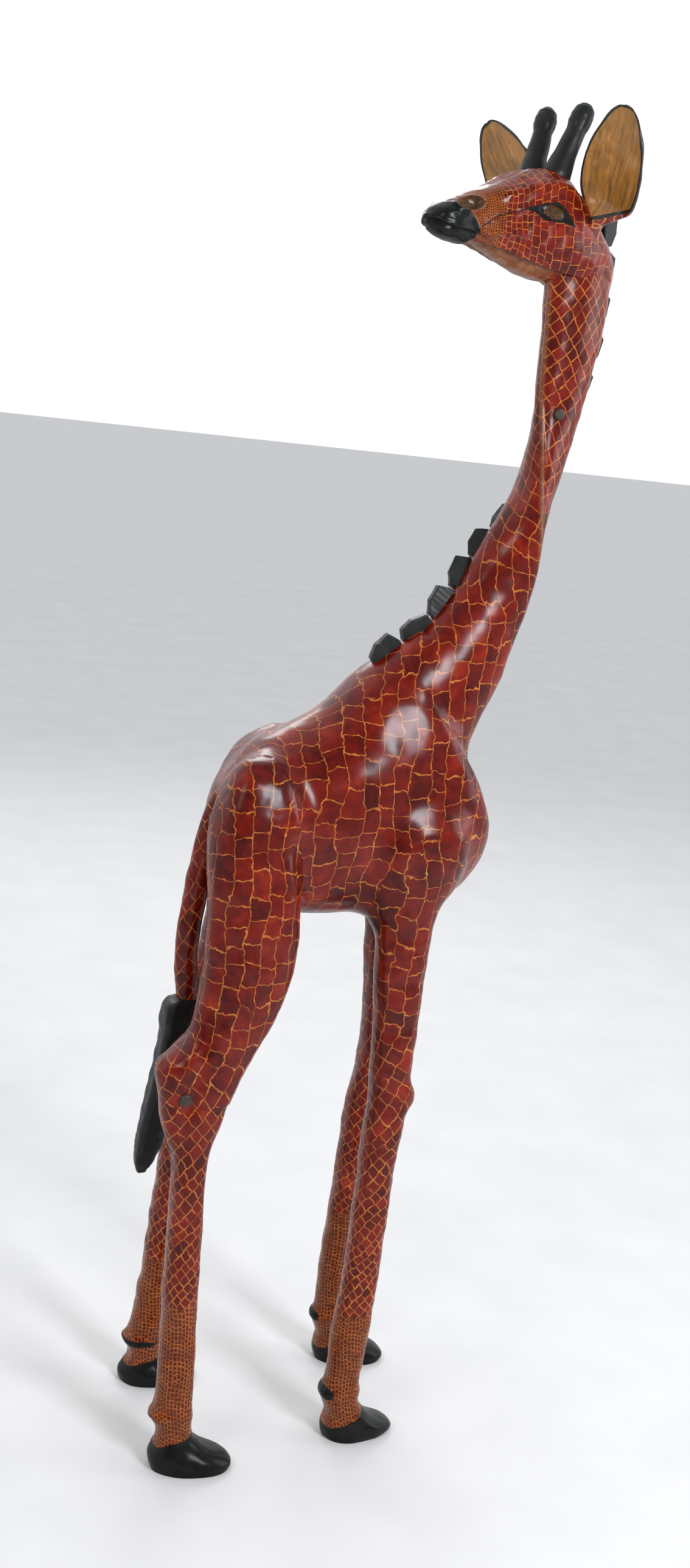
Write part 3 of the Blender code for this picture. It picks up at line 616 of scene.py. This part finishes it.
# heights, and how far forward the leg is bent at each of them
BOW = {
    "hind_left": ((0.0, 0.1, 0.2, 0.45, 0.6, 1.0), (0.0, 0.004, 0.009, 0.009, 0.003, 0.0)),
    "fore_left": ((0.0, 0.1, 0.2, 0.4, 0.52, 0.75, 1.0),
                  (0.0, -0.005, -0.012, -0.015, -0.005, -0.008, -0.008)),
}
# where a heel begins, and how much of it each hind leg has
HEEL_LINE, HEEL = -0.152, {"right": 1.0, "left": 0.35}
ANKLE = {"hind": -0.1215, "fore": 0.1395}
LEG_TOP, FOOT, HOOF, CLAW_HEIGHT = 0.9, 0.15, 0.06, 0.076
LEG_POWER, LEG_STEP, LEG_AROUND = 2.4, 0.0028, 88
# height, cell size, and the turn of the pattern towards diamonds
LEG_CELLS = ((0.0, 0.0092, 1.0), (0.24, 0.01, 1.0), (0.36, 0.0124, 1.0), (0.48, 0.0152, 1.0),
             (0.56, 0.0195, 0.6), (0.66, BODY_CELL, 0.0), (1.0, BODY_CELL, 0.0))


def set_over(stance, height):
    """How far a leg is set forward and sideways at a height."""
    top_y, sole_y, sole_x, top_x, _, _ = STANCE[stance]
    rise = height / LEG_TOP
    bend = np.interp(height, *BOW[stance]) if stance in BOW else 0.0
    return sole_x + (top_x - sole_x) * rise + bend, sole_y + (top_y - sole_y) * rise


def leg_surface(rows, stance, high, low):
    """A leg's rings from high to low, its paint map, and the numbers its marks need."""
    dense = np.linspace(0, len(rows) - 1, 4000)
    drawn = np.linspace(high, low, int(round((high - low) / LEG_STEP)))
    drawn, rear, front, width = through(rows, np.interp(drawn, through(rows, dense)[:, 0], dense)).T
    if stance.startswith("hind"):
        heel = np.where(drawn > FOOT, np.minimum(rear - HEEL_LINE, 0.0), 0.0)
        rear = rear - (1 - HEEL[stance[5:]]) * heel
    foot, toe = STANCE[stance][4:]
    height = drawn * (foot + (1 - foot) * np.minimum(1.0, drawn / FOOT))
    dx, dy = set_over(stance, height)
    turn = np.radians(toe) * np.maximum(0.0, 1 - height / HOOF)
    ankle = ANKLE[stance[:4]]
    ahead, half = (rear + front) / 2 - ankle, (front - rear) / 2
    cos, sin = np.cos(turn), np.sin(turn)
    centre = columns(ankle + dx + ahead * cos, dy + ahead * sin, height)
    reach, side = columns(half * cos, half * sin, 0.0), columns(-width * sin, width * cos, 0.0)
    grid = sweep(centre, reach, side, LEG_POWER, np.zeros(len(drawn)), LEG_AROUND)
    levels, cell, diamond = np.array(LEG_CELLS).T
    size = np.interp(drawn, levels, cell)
    way = np.broadcast_to([1.0, 0.0], (len(drawn), 2))
    turned = math.radians(45) * np.interp(drawn, levels, diamond)
    paint = paint_map(grid, centre[:, [0, 2]], way, size, turned,
                      centre[0, [0, 2]] / size[0] / (1, TALL))
    across = 2 * np.pi * np.arange(LEG_AROUND) / LEG_AROUND
    forward = ankle + ahead[:, None] + half[:, None] * np.cos(across)
    return grid, paint, {"drawn": drawn[:, None] + 0 * forward, "forward": forward,
                         "rear": rear[:, None], "size": size[:, None], "sideways": abs(np.sin(across))}


# %% Paint marks of a leg
def leg_marks(info, hoof_line, fine_from, claw_size):
    """Black below the hoof line and on a dewclaw, bricks below fine_from, and cell size."""
    x, height = info["forward"], info["drawn"]
    line = np.interp(x, *hoof_line)
    hoof = np.clip(0.5 + (line - height) / 0.004, 0, 1)
    claw = 1 - np.hypot((x - info["rear"]) / claw_size[0], (height - CLAW_HEIGHT) / claw_size[1])
    claw = np.clip(0.5 + claw / 0.25, 0, 1)
    fine = 1 - blend_step(height, fine_from - 0.035, fine_from + 0.035)
    return {"black": np.maximum(hoof, claw), "fine": fine, "cell": info["size"], "step": 0.8}


# the half length and half height of a leg's black dewclaw, too small to see on one
CLAW = {"hind_right": (0.001, 0.001), "hind_left": (0.045, 0.0048), "fore_right": (0.015, 0.0085),
        "fore_left": (0.007, 0.008)}
FINE_FROM = {"hind_right": 0.24, "hind_left": 0.205, "fore_right": 0.19, "fore_left": 0.255}
HOOF_LINE = {"hind": ((-0.155, -0.13, -0.095), (0.028, 0.043, 0.054)),
             "fore": ((0.112, 0.15, 0.175), (0.021, 0.037, 0.056))}
# x and height of the valley between the heel's cord and the shin of a hind leg
CORD = millimetres(
    (-150, 500), (-140, 540), (-131, 600), (-123, 640), (-119, 707), (-124, 786), (-131, 864),
)
# the depth of that valley at some heights, and its half width
CORD_DEPTH = ((0.46, 0.52, 0.62, 0.74, 0.88), (0.0, 0.0055, 0.0065, 0.004, 0.0))
CORD_WIDTH = 0.0085
HOCK_STEP, BLACK_STEP = 0.0016, 0.0008       # the shank is let in, and the black stands proud

legs, stance_of = {}, {}
for side in ("right", "left"):
    for name, rows, end, high, low in (("thigh", HIND_LEG, "hind", 0.978, HOCK),
                                       ("shank", HIND_LEG, "hind", HOCK - 0.0003, 0.0),
                                       ("foreleg", FORE_LEG, "fore", 0.908, 0.0)):
        stance = stance_of[f"{name}_{side}"] = f"{end}_{side}"
        grid, paint, info = leg_surface(rows, stance, high, low)
        drawn = info["drawn"]
        marks = leg_marks(info, HOOF_LINE[end], FINE_FROM[stance], CLAW[stance])
        if end == "hind":
            off = info["forward"] - np.interp(drawn, CORD[:, 1], CORD[:, 0])
            depth = np.interp(drawn, *CORD_DEPTH)
            grid = push(grid, -depth * np.exp(-(off / CORD_WIDTH) ** 2) * info["sideways"])
        if name == "shank":
            grid = push(grid, -HOCK_STEP * blend_step(drawn, HOCK - 0.025, HOCK))
        grid = push(grid, BLACK_STEP * blend_step(marks["black"], 0.3, 0.7))
        legs[f"{name}_{side}"] = [knife(grid, 0.0007, 0.05, len(legs)), paint, marks]
print("legs:", {name: leg[0].shape[:2] for name, leg in legs.items()})


# %% Body and legs rise to meet each other
CREASE_BACK, CREASE_FRONT = -0.07, -0.035   # x where the crease of a hind leg sets in
ROOTS = 0.66                                 # the body meets the legs above this height
FILLETS = ((0.046, 0.016), (0.028, 0.01))   # the reach of each pass, soft and at the crease


def softer_behind(grid, shift, wide, narrow):
    """The fillet's reach: wide at the rump and near the back, and narrow where a crease is
    left in front, at the flank."""
    crease = blend_step(grid[..., 0], CREASE_BACK + shift, CREASE_FRONT + shift)
    crease = crease * (1 - blend_step(grid[..., 2], 0.85, 0.92))
    return wide + (narrow - wide) * crease


for name, leg in legs.items():
    if name.startswith("shank"):
        continue
    shift = STANCE[stance_of[name]][3]
    high = leg[0][:, :, 2].mean(1) > ROOTS
    for wide, narrow in FILLETS:
        crisp = (shift, wide, narrow if name.startswith("thigh") else wide)
        before = leg[0][high]
        leg[0] = fillet(leg[0], body_grid, softer_behind(leg[0], *crisp))
        body_grid = fillet(body_grid, before, softer_behind(body_grid, *crisp))
body_grid = knife(body_grid, 0.0007, 0.08, 31)
neck_grid = knife(neck_grid, 0.0005, 0.06, 32)

# %% The keel of the throat with its painted highlight, and the red pieces as objects
# the keel's ridge is also painted lighter, as a painted highlight along the throat
KEEL_HEIGHT, KEEL_WIDTH, KEEL_HIGHLIGHT = 0.0026, 0.018, 0.8     # the width is in turns of a ring
throat = np.minimum(np.arange(AROUND), AROUND - np.arange(AROUND)) / AROUND
keel = np.exp(-(throat / KEEL_WIDTH) ** 2)
rise = np.concatenate([np.zeros(RIB_RINGS), blend_step(np.linspace(0, 1, LOW_RINGS), 0.25, 0.6)])
body_keel = rise[:, None] * keel
body_grid = push(body_grid, KEEL_HEIGHT * body_keel)
neck_grid = push(neck_grid, KEEL_HEIGHT * np.broadcast_to(keel, neck_grid.shape[:2]))

skin("torso_carved", PAINT, body_grid, body_paint,
     {"cell": body_cells[:BODY_RINGS, None], "faded": KEEL_HIGHLIGHT * body_keel,
      "step": 1 - 0.9 * blend_step(up_neck[:BODY_RINGS, None], 0.1, 0.6)}, caps=(0.006, 0.0, 4))
skin("upper_neck_carved", PAINT, neck_grid, neck_paint,
     {"cell": body_cells[BODY_RINGS:, None], "step": 0.1, "faded": KEEL_HIGHLIGHT * keel})
for name, (grid, paint, marks) in legs.items():
    skin(f"{name}_carved", PAINT, grid, paint, marks)


# %% [markdown]
# ## The head
# The head is one block, hollowed to sit over the neck. Its face is carved in low relief: a
# brow over each eye, a cord from the eye to the lip, an overhanging upper lip, nostrils, and
# a jaw cut back under the cheek. Each of these is a soft line or an oval in the plane of the
# face, added to the surface along its normals, with the paint following the same lines.

# %% Lines and ovals on the face
HEAD_POINT, HEAD_TURN = Vector((0.2695, 0.0, 1.711)), (4.0, 0.0, -156.0)
# x, underside z, top z, half width
HEAD = millimetres(
    (-90, -75, -50, 12), (-82, -98, -36, 30), (-56, -100, -14, 47), (-24, -93, 10, 58),
    (10, -88, 37, 64), (45, -88, 60, 63), (85, -83, 57, 57), (125, -70, 40, 48), (160, -59, 24, 40),
    (195, -52, 9, 35), (220, -49, -2, 32), (238, -43, -13, 24), (247, -35, -23, 8),
)


def head_place():
    """The head's frame: +X to the muzzle, +Y its left, +Z the crown."""
    roll, pitch, heading = (math.radians(value) for value in HEAD_TURN)
    return (Matrix.Translation(HEAD_POINT) @ Matrix.Rotation(heading, 4, "Z")
            @ Matrix.Rotation(pitch, 4, "Y") @ Matrix.Rotation(roll, 4, "X"))


def put(matrix, grid):
    """Moves a grid into place."""
    turn = np.array(matrix)
    return grid @ turn[:3, :3].T + turn[:3, 3]


def off_line(x, z, line, closed=False):
    """Distance in the plane of the face to a line of points."""
    ends = np.roll(line, -1, 0) if closed else line[1:]
    nearest = np.full(x.shape, 1.0)
    for (ax, az), (bx, bz) in zip(line if closed else line[:-1], ends):
        along = ((x - ax) * (bx - ax) + (z - az) * (bz - az)) / ((bx - ax) ** 2 + (bz - az) ** 2)
        along = np.clip(along, 0, 1)
        off = np.hypot(x - ax - along * (bx - ax), z - az - along * (bz - az))
        nearest = np.minimum(nearest, off)
    return nearest


def inside(x, z, outline):
    """Distance in from a closed outline, negative outside it, by counting crossings."""
    odd = np.zeros(x.shape, bool)
    for (ax, az), (bx, bz) in zip(outline, np.roll(outline, -1, 0)):
        crosses = (az > z) != (bz > z)
        odd ^= crosses & (x < (bx - ax) * (z - az) / (bz - az + 1e-12) + ax)
    return off_line(x, z, outline, True) * np.where(odd, 1, -1)


def oval(x, z, centre, half, tilt):
    """1 at the middle of a tilted oval, falling to 0 on its edge and below 0 outside."""
    cos, sin = math.cos(tilt), math.sin(tilt)
    x, z = x - centre[0], z - centre[1]
    return 1 - np.hypot((x * cos + z * sin) / half[0], (z * cos - x * sin) / half[1])


# %% The carved face
EYE_LINE = millimetres(
    (130, -4), (115, 2), (101, 6), (87, 10), (69, 14), (55, 7), (44, -4), (33, -15), (44, -13),
    (56, -10), (79, -11), (94, -9), (101, -4), (115, -2),
)
EYE_CORD = millimetres((130, -4), (160, -15), (181, -31))
LIP = millimetres((250, -24), (239, -31), (214, -34), (189, -36), (172, -37))
CHEEK = millimetres((188, -40), (163, -36), (136, -32), (112, -31))
BROW = millimetres((142, 12), (105, 26), (70, 34), (44, 30))
JAW = millimetres((-20, -73), (24, -71), (60, -67), (102, -61), (133, -54), (163, -49), (186, -46))
CAP_EDGE = millimetres(
    (-60, -50, -45, -38, -30, -22, -15, -9, -6, -2, 10),
    (200, 192, 185, 183, 187, 196, 207, 219, 226, 240, 262),
)
# middle, half length and half height, tilt
EYEBALL = ((0.0745, 0.0005), (0.0185, 0.0085), 0.12)
NOSTRIL = ((0.2035, -0.0045), (0.02, 0.0092), -0.24)
HORN_BASE = (0.052, 0.026, 0.034)            # x, half length and half width of a black patch
FACE_CELLS = ((0.06, 0.115, 0.16), (0.0148, 0.0095, 0.0066))     # x, and the cell size there
HEAD_POWER, HEAD_RIDGE, HEAD_AROUND, HEAD_RINGS = 2.35, 0.3, 216, 216


def make_head():
    """The head's rings stand across its own x axis; then come the features and the paint."""
    dense = np.linspace(0, len(HEAD) - 1, 4000)
    stations = np.interp(np.linspace(-0.0899, 0.2469, HEAD_RINGS), through(HEAD, dense)[:, 0], dense)
    x, low, high, width = through(HEAD, stations).T
    middle = (low + high) / 2
    grid = sweep(columns(x, 0.0, middle), columns(0.0, 0.0, (low - high) / 2),
                 columns(0.0, width, 0.0), HEAD_POWER, np.full(len(x), HEAD_RIDGE), HEAD_AROUND)
    way = np.broadcast_to([0.0, -1.0], (len(x), 2))
    size = np.interp(x, *FACE_CELLS)
    path = columns(x, middle)
    paint = paint_map(grid, path, way, size, 0 * x + 0.1, path[0] / size[0], 1.0)
    fx, fy, fz = grid[..., 0], grid[..., 1], grid[..., 2]
    side = blend_step(abs(fy) / np.maximum(width[:, None], 1e-6), 0.3, 0.62)

    def ridge(line, half_width, lower=0.0):
        return np.exp(-(off_line(fx, fz, line - (0.0, lower)) / half_width) ** 2)

    def within(first, rise, fall, last):
        """1 along the head between rise and fall, and 0 before first and after last."""
        return blend_step(fx, first, rise) * (1 - blend_step(fx, fall, last))

    eye_in = inside(fx, fz, EYE_LINE)
    ball, nostril = oval(fx, fz, *EYEBALL), oval(fx, fz, *NOSTRIL)
    nostril_mask, ball_mask = (np.clip(0.5 + value / 0.12, 0, 1) for value in (nostril, ball - 0.1))
    under = blend_step(np.interp(fx, *JAW.T) - fz, -0.0008, 0.0022) * within(-0.02, 0.03, 0.18, 0.192)
    cap = np.clip(0.5 + (fx - np.interp(fz, *CAP_EDGE)) / 0.0035, 0, 1)
    socket = np.exp(-((fx - 0.078) / 0.034) ** 2 - ((fz + 0.001) / 0.015) ** 2)
    eyelid = np.exp(-(eye_in / 0.0022) ** 2) * blend_step(fx, 0.03, 0.045)

    amount = side * (-0.005 * socket + 0.0062 * np.sqrt(np.clip(ball, 0, 1)) + 0.0016 * eyelid
                     + 0.0045 * ridge(BROW, 0.0085) - 0.0015 * ridge(EYE_CORD, 0.002)
                     + 0.0012 * ridge(EYE_CORD, 0.003, 0.004) + 0.0024 * ridge(CHEEK, 0.0042)
                     + 0.0016 * ridge(LIP, 0.0022) - 0.003 * ridge(LIP, 0.002, 0.0042)
                     - 0.007 * blend_step(nostril, 0.0, 0.55)
                     + 0.0016 * np.exp(-(nostril / 0.16) ** 2))
    groove = np.exp(-(fy / 0.013) ** 2) * (fz > 0) * within(0.03, 0.07, 0.13, 0.18)
    amount = amount - 0.008 * under + 0.001 * blend_step(cap, 0.2, 0.8) - 0.004 * groove

    eye_black = side * np.clip(0.5 + eye_in / 0.0022, 0, 1) * (ball < 0.1)
    patch = np.hypot((fx - HORN_BASE[0]) / HORN_BASE[1], fy / HORN_BASE[2])
    black = np.maximum.reduce([cap, eye_black, 0.8 * side * ridge(EYE_CORD, 0.0012),
                               (fz > 0) * (1.5 - patch).clip(0, 1)])
    # brown nostrils and eyeballs, and a painted shadow: a dark line along the jaw just under the cheek
    brown = np.maximum.reduce([nostril_mask, ball_mask, 0.85 * ridge(JAW[1:], 0.0016, 0.0022)])
    marks = {"cell": size[:, None], "step": 0.8, "fine": blend_step(fx, 0.138, 0.158),
             "black": black * (1 - nostril_mask * side), "brown": side * brown,
             "faded": 0.75 * under * within(0.02, 0.06, 0.15, 0.18)}
    return knife(put(head_place(), push(grid, amount)), 0.0005, 0.035, 41), paint, marks


head_grid, head_paint, head_marks = make_head()
skin("head_carved", FACE_PAINT, head_grid, head_paint, head_marks,
     caps=(0.002, 0.0025, 3))
print("head:", head_grid.shape)


# %% [markdown]
# ## Ears and horns
# An ear is a leaf-shaped plate, dished on its face, with a peg into the head. A horn is
# turned with a knob on top. Both are leaned by eye, so the two sides differ.

# %% The ears
def on_head(foot, side, outwards, forwards, turn=0.0):
    """The frame of a piece that stands on the head, leaned and turned, in degrees."""
    outwards, forwards, turn = (math.radians(value) for value in (outwards, forwards, turn))
    return (head_place() @ Matrix.Translation(Vector(foot))
            @ Matrix.Rotation(-side * outwards, 4, "X") @ Matrix.Rotation(forwards, 4, "Y")
            @ Matrix.Rotation(side * turn, 4, "Z"))


# where an ear's foot is on the head, and its lean outwards and forwards and its turn
EAR_FOOT = {"left": (-0.005, 0.06, -0.004), "right": (-0.005, -0.06, 0.002)}
EAR_LEAN = {"left": (19.0, 12.0, 8.0), "right": (27.0, 11.0, 8.0)}
EAR_POWER, EAR_TIP, RIM = 2.2, 0.1512, 0.0036
# distance from the foot, half width, half thickness, how far its middle is set outwards
EAR = millimetres(
    (-28, 8, 8, -8), (-14, 9.5, 9.2, -9), (0, 15, 14, -9), (12, 26.5, 13, -1), (24, 37.5, 11.5, 5),
    (45, 45.5, 9.5, 3), (75, 46.5, 7.5, 2), (105, 40, 6.5, 3), (132, 27, 5.5, 4), (143, 19, 4.8, 4),
    (149, 11.5, 4.2, 4), (151.2, 3.5, 3.5, 4),
)


def make_ear(name, side):
    """The back follows the stations' superellipse; the face is a dish that is lowest in the
    middle: depth x (0.35 - 0.95 (1 - v^2)), where v runs from edge to edge."""
    along, width, depth, shift = through(EAR, np.linspace(0, len(EAR) - 1, 130)).T[..., None]
    angle = 2 * np.pi * np.arange(96) / 96
    u, v = (np.copysign(abs(f(angle)) ** (2 / EAR_POWER), f(angle)) for f in (np.cos, np.sin))
    dish = blend_step(along, 0.004, 0.03)
    face = 0.35 - 0.95 * (1 - v ** 2)
    front = u * (1 - dish) + face * dish
    x = depth * np.where(u > 0, front * np.clip(u * 4, 0, 1), u)
    y = width * v + side * shift

    slope = np.hypot(1, np.gradient(width[:, 0], along[:, 0]))[:, None]
    low_edge = (along - 0.003 - 0.45 * (side * y + 0.012)) / 1.1
    edge = np.minimum((1 - abs(v)) * width / slope, np.minimum(low_edge, EAR_TIP - along))
    rim = np.clip(0.5 + (RIM - edge) / 0.0016, 0, 1) * (u > -0.3) * (low_edge > -0.0008)
    low = 1 - blend_step(low_edge, -0.0014, -0.0002)
    back = np.maximum(np.clip(0.5 - (u - 0.02) * 9, 0, 1), low)
    grid = put(on_head(EAR_FOOT[name], side, *EAR_LEAN[name]), columns(x, y, along))
    skin(f"ear_{name}_carved", EAR_WOOD, knife(grid, 0.0004, 0.03, 60 + side),
         columns(y, along), {"rim": rim, "back": back})


# %% The horns
HORN_FOOT, HORN_LEAN = (0.046, 0.0215, 0.05), (7.0, -21.0)
HORN = millimetres(
    (0.9, 102.2), (8, 101), (13, 95), (15, 85), (14.8, 76), (12.8, 66), (14.8, 32), (18.8, 4),
    (18.8, -6),
)


def make_horn(name, side):
    """A profile of (radius, height) carried round its own axis, a little out of true."""
    places = np.linspace(0, len(HORN) - 1, 90)
    radius, height = (np.interp(places, range(len(HORN)), column)[:, None] for column in HORN.T)
    angle = 2 * np.pi * np.arange(40) / 40
    grid = columns(radius * np.cos(angle), radius * np.sin(angle), height)
    x, y, z = HORN_FOOT
    grid = put(on_head((x, side * y, z), side, *HORN_LEAN), grid)
    skin(f"horn_{name}_carved", BLACK, knife(grid, 0.0003, 0.03, 70 + side))


for name, side in (("left", 1), ("right", -1)):
    make_ear(name, side)
    make_horn(name, side)


# %% [markdown]
# ## Mane, tail and plugs
# The mane is a row of separate blocks, each full height at its upper end and cut down to a
# slope at its lower end, glued along the back of the neck with a notch between neighbours.

# %% The mane blocks
MANE_PITCH, MANE_LENGTH, MANE_HEIGHT, MANE_THICKNESS = 0.052, 0.0465, 0.022, 0.014
MANE_SINK, MANE_POWER, MANE_COUNT = 0.007, 13.0, 14


def mane_line():
    """Points on the back of the neck, with the way out of it, and the distance along it."""
    pieces = (rib_path(np.linspace(0, len(RIBS), 34)[20:-1])[:2],
              neck_path(np.linspace(NECK_START, NECK_JOINT, 12))[:2],
              neck_path(np.linspace(NECK_JOINT + 0.25, len(NECK) - 1.1, 14))[:2])
    centre, down = (np.concatenate(parts) for parts in zip(*pieces))
    points = centre - down
    steps = np.linalg.norm(np.diff(points, axis=0), axis=1)
    return points, unit(-down), np.concatenate([[0], np.cumsum(steps)])


def make_mane():
    """Each block is a stack of square-cornered rings along the neck; its top follows the
    notched outline, and it reaches a little below the neck's surface."""
    points, out, lengths = mane_line()
    half = MANE_LENGTH / 2
    stations = np.concatenate([[-half, -half + 0.0012], np.linspace(-half + 0.003, half - 0.002, 34),
                               [half - 0.0008, half]])
    top = np.interp(stations, (-half, -half + 0.016, half - 0.008, half),
                    (0.008, MANE_HEIGHT - 0.003, MANE_HEIGHT, 0.006))
    pinch = np.interp(stations, (-half, -half + 0.0012, half - 0.0008, half), (0.95, 1.0, 1.0, 0.95))
    for number in range(MANE_COUNT):
        place = MANE_PITCH * number + half
        index = int(np.searchsorted(lengths, place))
        t = (place - lengths[index - 1]) / (lengths[index] - lengths[index - 1])
        point = points[index - 1] * (1 - t) + points[index] * t
        along = unit(points[index] - points[index - 1])
        rise = out[index - 1] * (1 - t) + out[index] * t
        rise = unit(rise - along * (rise @ along))
        centre = point + stations[:, None] * along + ((top - MANE_SINK) / 2)[:, None] * rise
        down = -((top + MANE_SINK) / 2 * pinch)[:, None] * rise
        side = (MANE_THICKNESS / 2 * pinch)[:, None] * np.cross(along, rise)
        grid = sweep(centre, down, side, MANE_POWER, 0 * stations, 56)
        skin(f"mane_block_{number + 1:02d}_carved", BLACK,
             knife(grid, 0.0003, 0.02, 100 + number), sharp=40)


make_mane()


# %% The tail and its tuft
TAIL = millimetres(
    (-88, 930, 15), (-108, 908, 16.5), (-120, 870, 16.5), (-128, 820, 16.5), (-134, 760, 16.5),
    (-137, 700, 16), (-133, 660, 15.8), (-127, 622, 14.5),
)
# height, middle x, half length along x, half width
TUFT = millimetres(
    (629, -127.5, 16.5, 15), (615, -133, 27, 22), (560, -137, 25, 21), (480, -149, 23, 19),
    (430, -159, 19, 16), (395, -166, 14, 12), (374, -168, 6.5, 6),
)


TAIL_CELL, TAIL_TURN, TUFT_POWER = 0.0185, 0.6, 5.0


def make_tail():
    """Circles across a curved line: the line's tangent gives each circle's plane."""
    places = np.linspace(0, len(TAIL) - 1, 130)
    x, z, radius = through(TAIL, places).T
    tangent = unit((through(TAIL, places + 0.02) - through(TAIL, places - 0.02))[:, :2])
    centre, across = columns(x, 0.0, z), columns(-tangent[:, 1], 0.0, tangent[:, 0])
    grid = sweep(centre, across * radius[:, None], columns(0.0, radius, 0.0), 2.0, 0 * x, 56)
    size = 0 * x + TAIL_CELL
    paint = paint_map(grid, centre[:, [0, 2]], across[:, [0, 2]], size, 0 * x + TAIL_TURN, np.zeros(2))
    skin("tail_carved", PAINT, knife(grid, 0.0006, 0.04, 81), paint,
         {"cell": size[:, None], "step": 0.6})

    z, x, length, width = through(TUFT, np.linspace(0, len(TUFT) - 1, 110)).T
    grid = sweep(columns(x, 0.0, z), columns(length, 0.0, 0.0), columns(0.0, width, 0.0),
                 TUFT_POWER, 0 * x, 64)
    skin("tail_tuft_carved", BLACK, knife(grid, 0.0007, 0.025, 82),
         sharp=35, caps=(0.0015, 0.003, 3))


make_tail()


# %% The plugs that show
def make_plug(name, mouth, inner, radius):
    """A peg's end: rings from the hole to a slightly domed, chamfered face."""
    way = unit(mouth - inner)
    across = unit(np.cross(way, [0.0, 0.0, 1.0]))
    along = np.array([0.0, 0.3, 0.6, 0.85, 0.94, 0.98, 1.0, 1.004, 1.006])[:, None]
    wide = np.array([1, 1, 1, 1, 1, 0.985, 0.93, 0.6, 0.2])[:, None] * radius
    grid = sweep(inner + along * (mouth - inner), wide * across, wide * np.cross(way, across),
                 2.0, 0 * along, 40)
    skin(f"{name}_end", PLUG, grid, nodes=[name])


def leg_middle(stance, height, x):
    """The middle of a leg at a height, x being where that is before the stance."""
    dx, dy = set_over(stance, height)
    return np.array([x + dx, dy, height])


LEG_PLUG, NECK_PLUG = 0.0085, 0.0075         # their radii

for side, sign in (("right", -1), ("left", 1)):
    sideways = np.array([0.0, sign, 0.0])
    hock = leg_middle(f"hind_{side}", HOCK, -0.154) + (0, 0, 0.012)
    make_plug(f"hock_plug_{side}", hock + 0.0338 * sideways, hock + 0.01 * sideways, LEG_PLUG)
    knee = leg_middle(f"fore_{side}", 0.8, 0.122)
    make_plug(f"foreleg_plug_{side}", knee + 0.0275 * sideways, knee + 0.004 * sideways, LEG_PLUG)
pin = neck_path([NECK_JOINT + 0.42])[0][0]
pin_way = np.array([-0.25, -0.97, 0.0]) / math.hypot(0.25, 0.97)
make_plug("neck_plug", pin + 0.04 * pin_way, pin + 0.015 * pin_way, NECK_PLUG)

for name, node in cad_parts.items():
    if name.endswith("dowel") or "_dowel_" in name:
        node.data.materials.clear()
        node.data.materials.append(BARE)


# %% [markdown]
# ## Floor, light and camera
# The lacquer mirrors whatever stands in front of it, so the room is dim behind the camera and
# pale behind the giraffe, and one window at the front right makes the soft highlights on the
# flank, the shoulder and the chest. A weak light fills each of the other sides.

# %% The stage
def area_light(name, place, aim, size, power, colour):
    data = bpy.data.lights.new(name, "AREA")
    data.shape, data.size, data.size_y, data.energy, data.color = "RECTANGLE", *size, power, colour
    lamp = bpy.data.objects.new(name, data)
    lamp.location = place
    lamp.rotation_euler = (Vector(aim) - Vector(place)).to_track_quat("-Z", "Y").to_euler()
    bpy.context.scene.collection.objects.link(lamp)


floor_finish = Finish("pale_floor")
speck = floor_finish.noise(floor_finish.place(), 6.0, 3.0)
pale = floor_finish.ramp(speck, (0.3, (0.67, 0.67, 0.67)), (0.7, (0.71, 0.71, 0.71)))
floor_finish.paint(Base_Color=pale, Roughness=0.75)
floor_mesh = bpy.data.meshes.new("floor")
floor_mesh.from_pydata([(-30, -30, 0), (30, -30, 0), (30, 30, 0), (-30, 30, 0)], [], [(0, 1, 2, 3)])
floor_mesh.materials.append(floor_finish.material)
floor = bpy.data.objects.new("floor", floor_mesh)
bpy.context.scene.collection.objects.link(floor)

world = bpy.data.worlds.new("studio")
world.use_nodes = True
sky = world.node_tree.nodes.new("ShaderNodeTexCoord")
depth = world.node_tree.nodes.new("ShaderNodeSeparateXYZ")
shade = world.node_tree.nodes.new("ShaderNodeMapRange")
for name, value in (("From Min", -0.6), ("From Max", 0.3), ("To Min", 0.22), ("To Max", 1.2)):
    shade.inputs[name].default_value = value
world.node_tree.links.new(sky.outputs["Generated"], depth.inputs[0])
world.node_tree.links.new(depth.outputs["Y"], shade.inputs["Value"])
world.node_tree.links.new(shade.outputs[0], world.node_tree.nodes["Background"].inputs["Strength"])
world.node_tree.nodes["Background"].inputs["Color"].default_value = (0.95, 0.97, 1.0, 1.0)
bpy.context.scene.world = world
area_light("window", (1.0, -2.7, 2.3), (0.1, 0.0, 1.0), (0.8, 1.2), 74.0, (0.93, 0.95, 1.0))
area_light("left", (-2.8, -2.2, 2.8), (0.0, 0.0, 1.0), (1.2, 1.2), 24.0, (1.0, 0.97, 0.93))
area_light("right", (3.0, -0.6, 1.6), (0.0, 0.0, 1.0), (1.4, 1.8), 22.0, (0.95, 0.97, 1.0))
area_light("back", (0.5, 3.2, 2.8), (0.0, 0.0, 1.1), (2.0, 1.2), 40.0, (1.0, 1.0, 1.0))

# %% The camera
EYE, AIM, ROLL = Vector((-0.9059, -2.3947, 1.5)), Vector((-0.0166, 0.0485, 0.93)), 7.0
view = bpy.data.cameras.new("camera")
view.lens = 44.0
view.sensor_width = 36.0
camera = bpy.data.objects.new("camera", view)
turn = (AIM - EYE).to_track_quat("-Z", "Y").to_matrix() @ Matrix.Rotation(math.radians(ROLL), 3, "Z")
camera.matrix_world = Matrix.Translation(EYE) @ turn.to_4x4()
bpy.context.scene.collection.objects.link(camera)
bpy.context.scene.camera = camera
bpy.context.scene.view_settings.view_transform = "Standard"

bpy.context.view_layer.update()
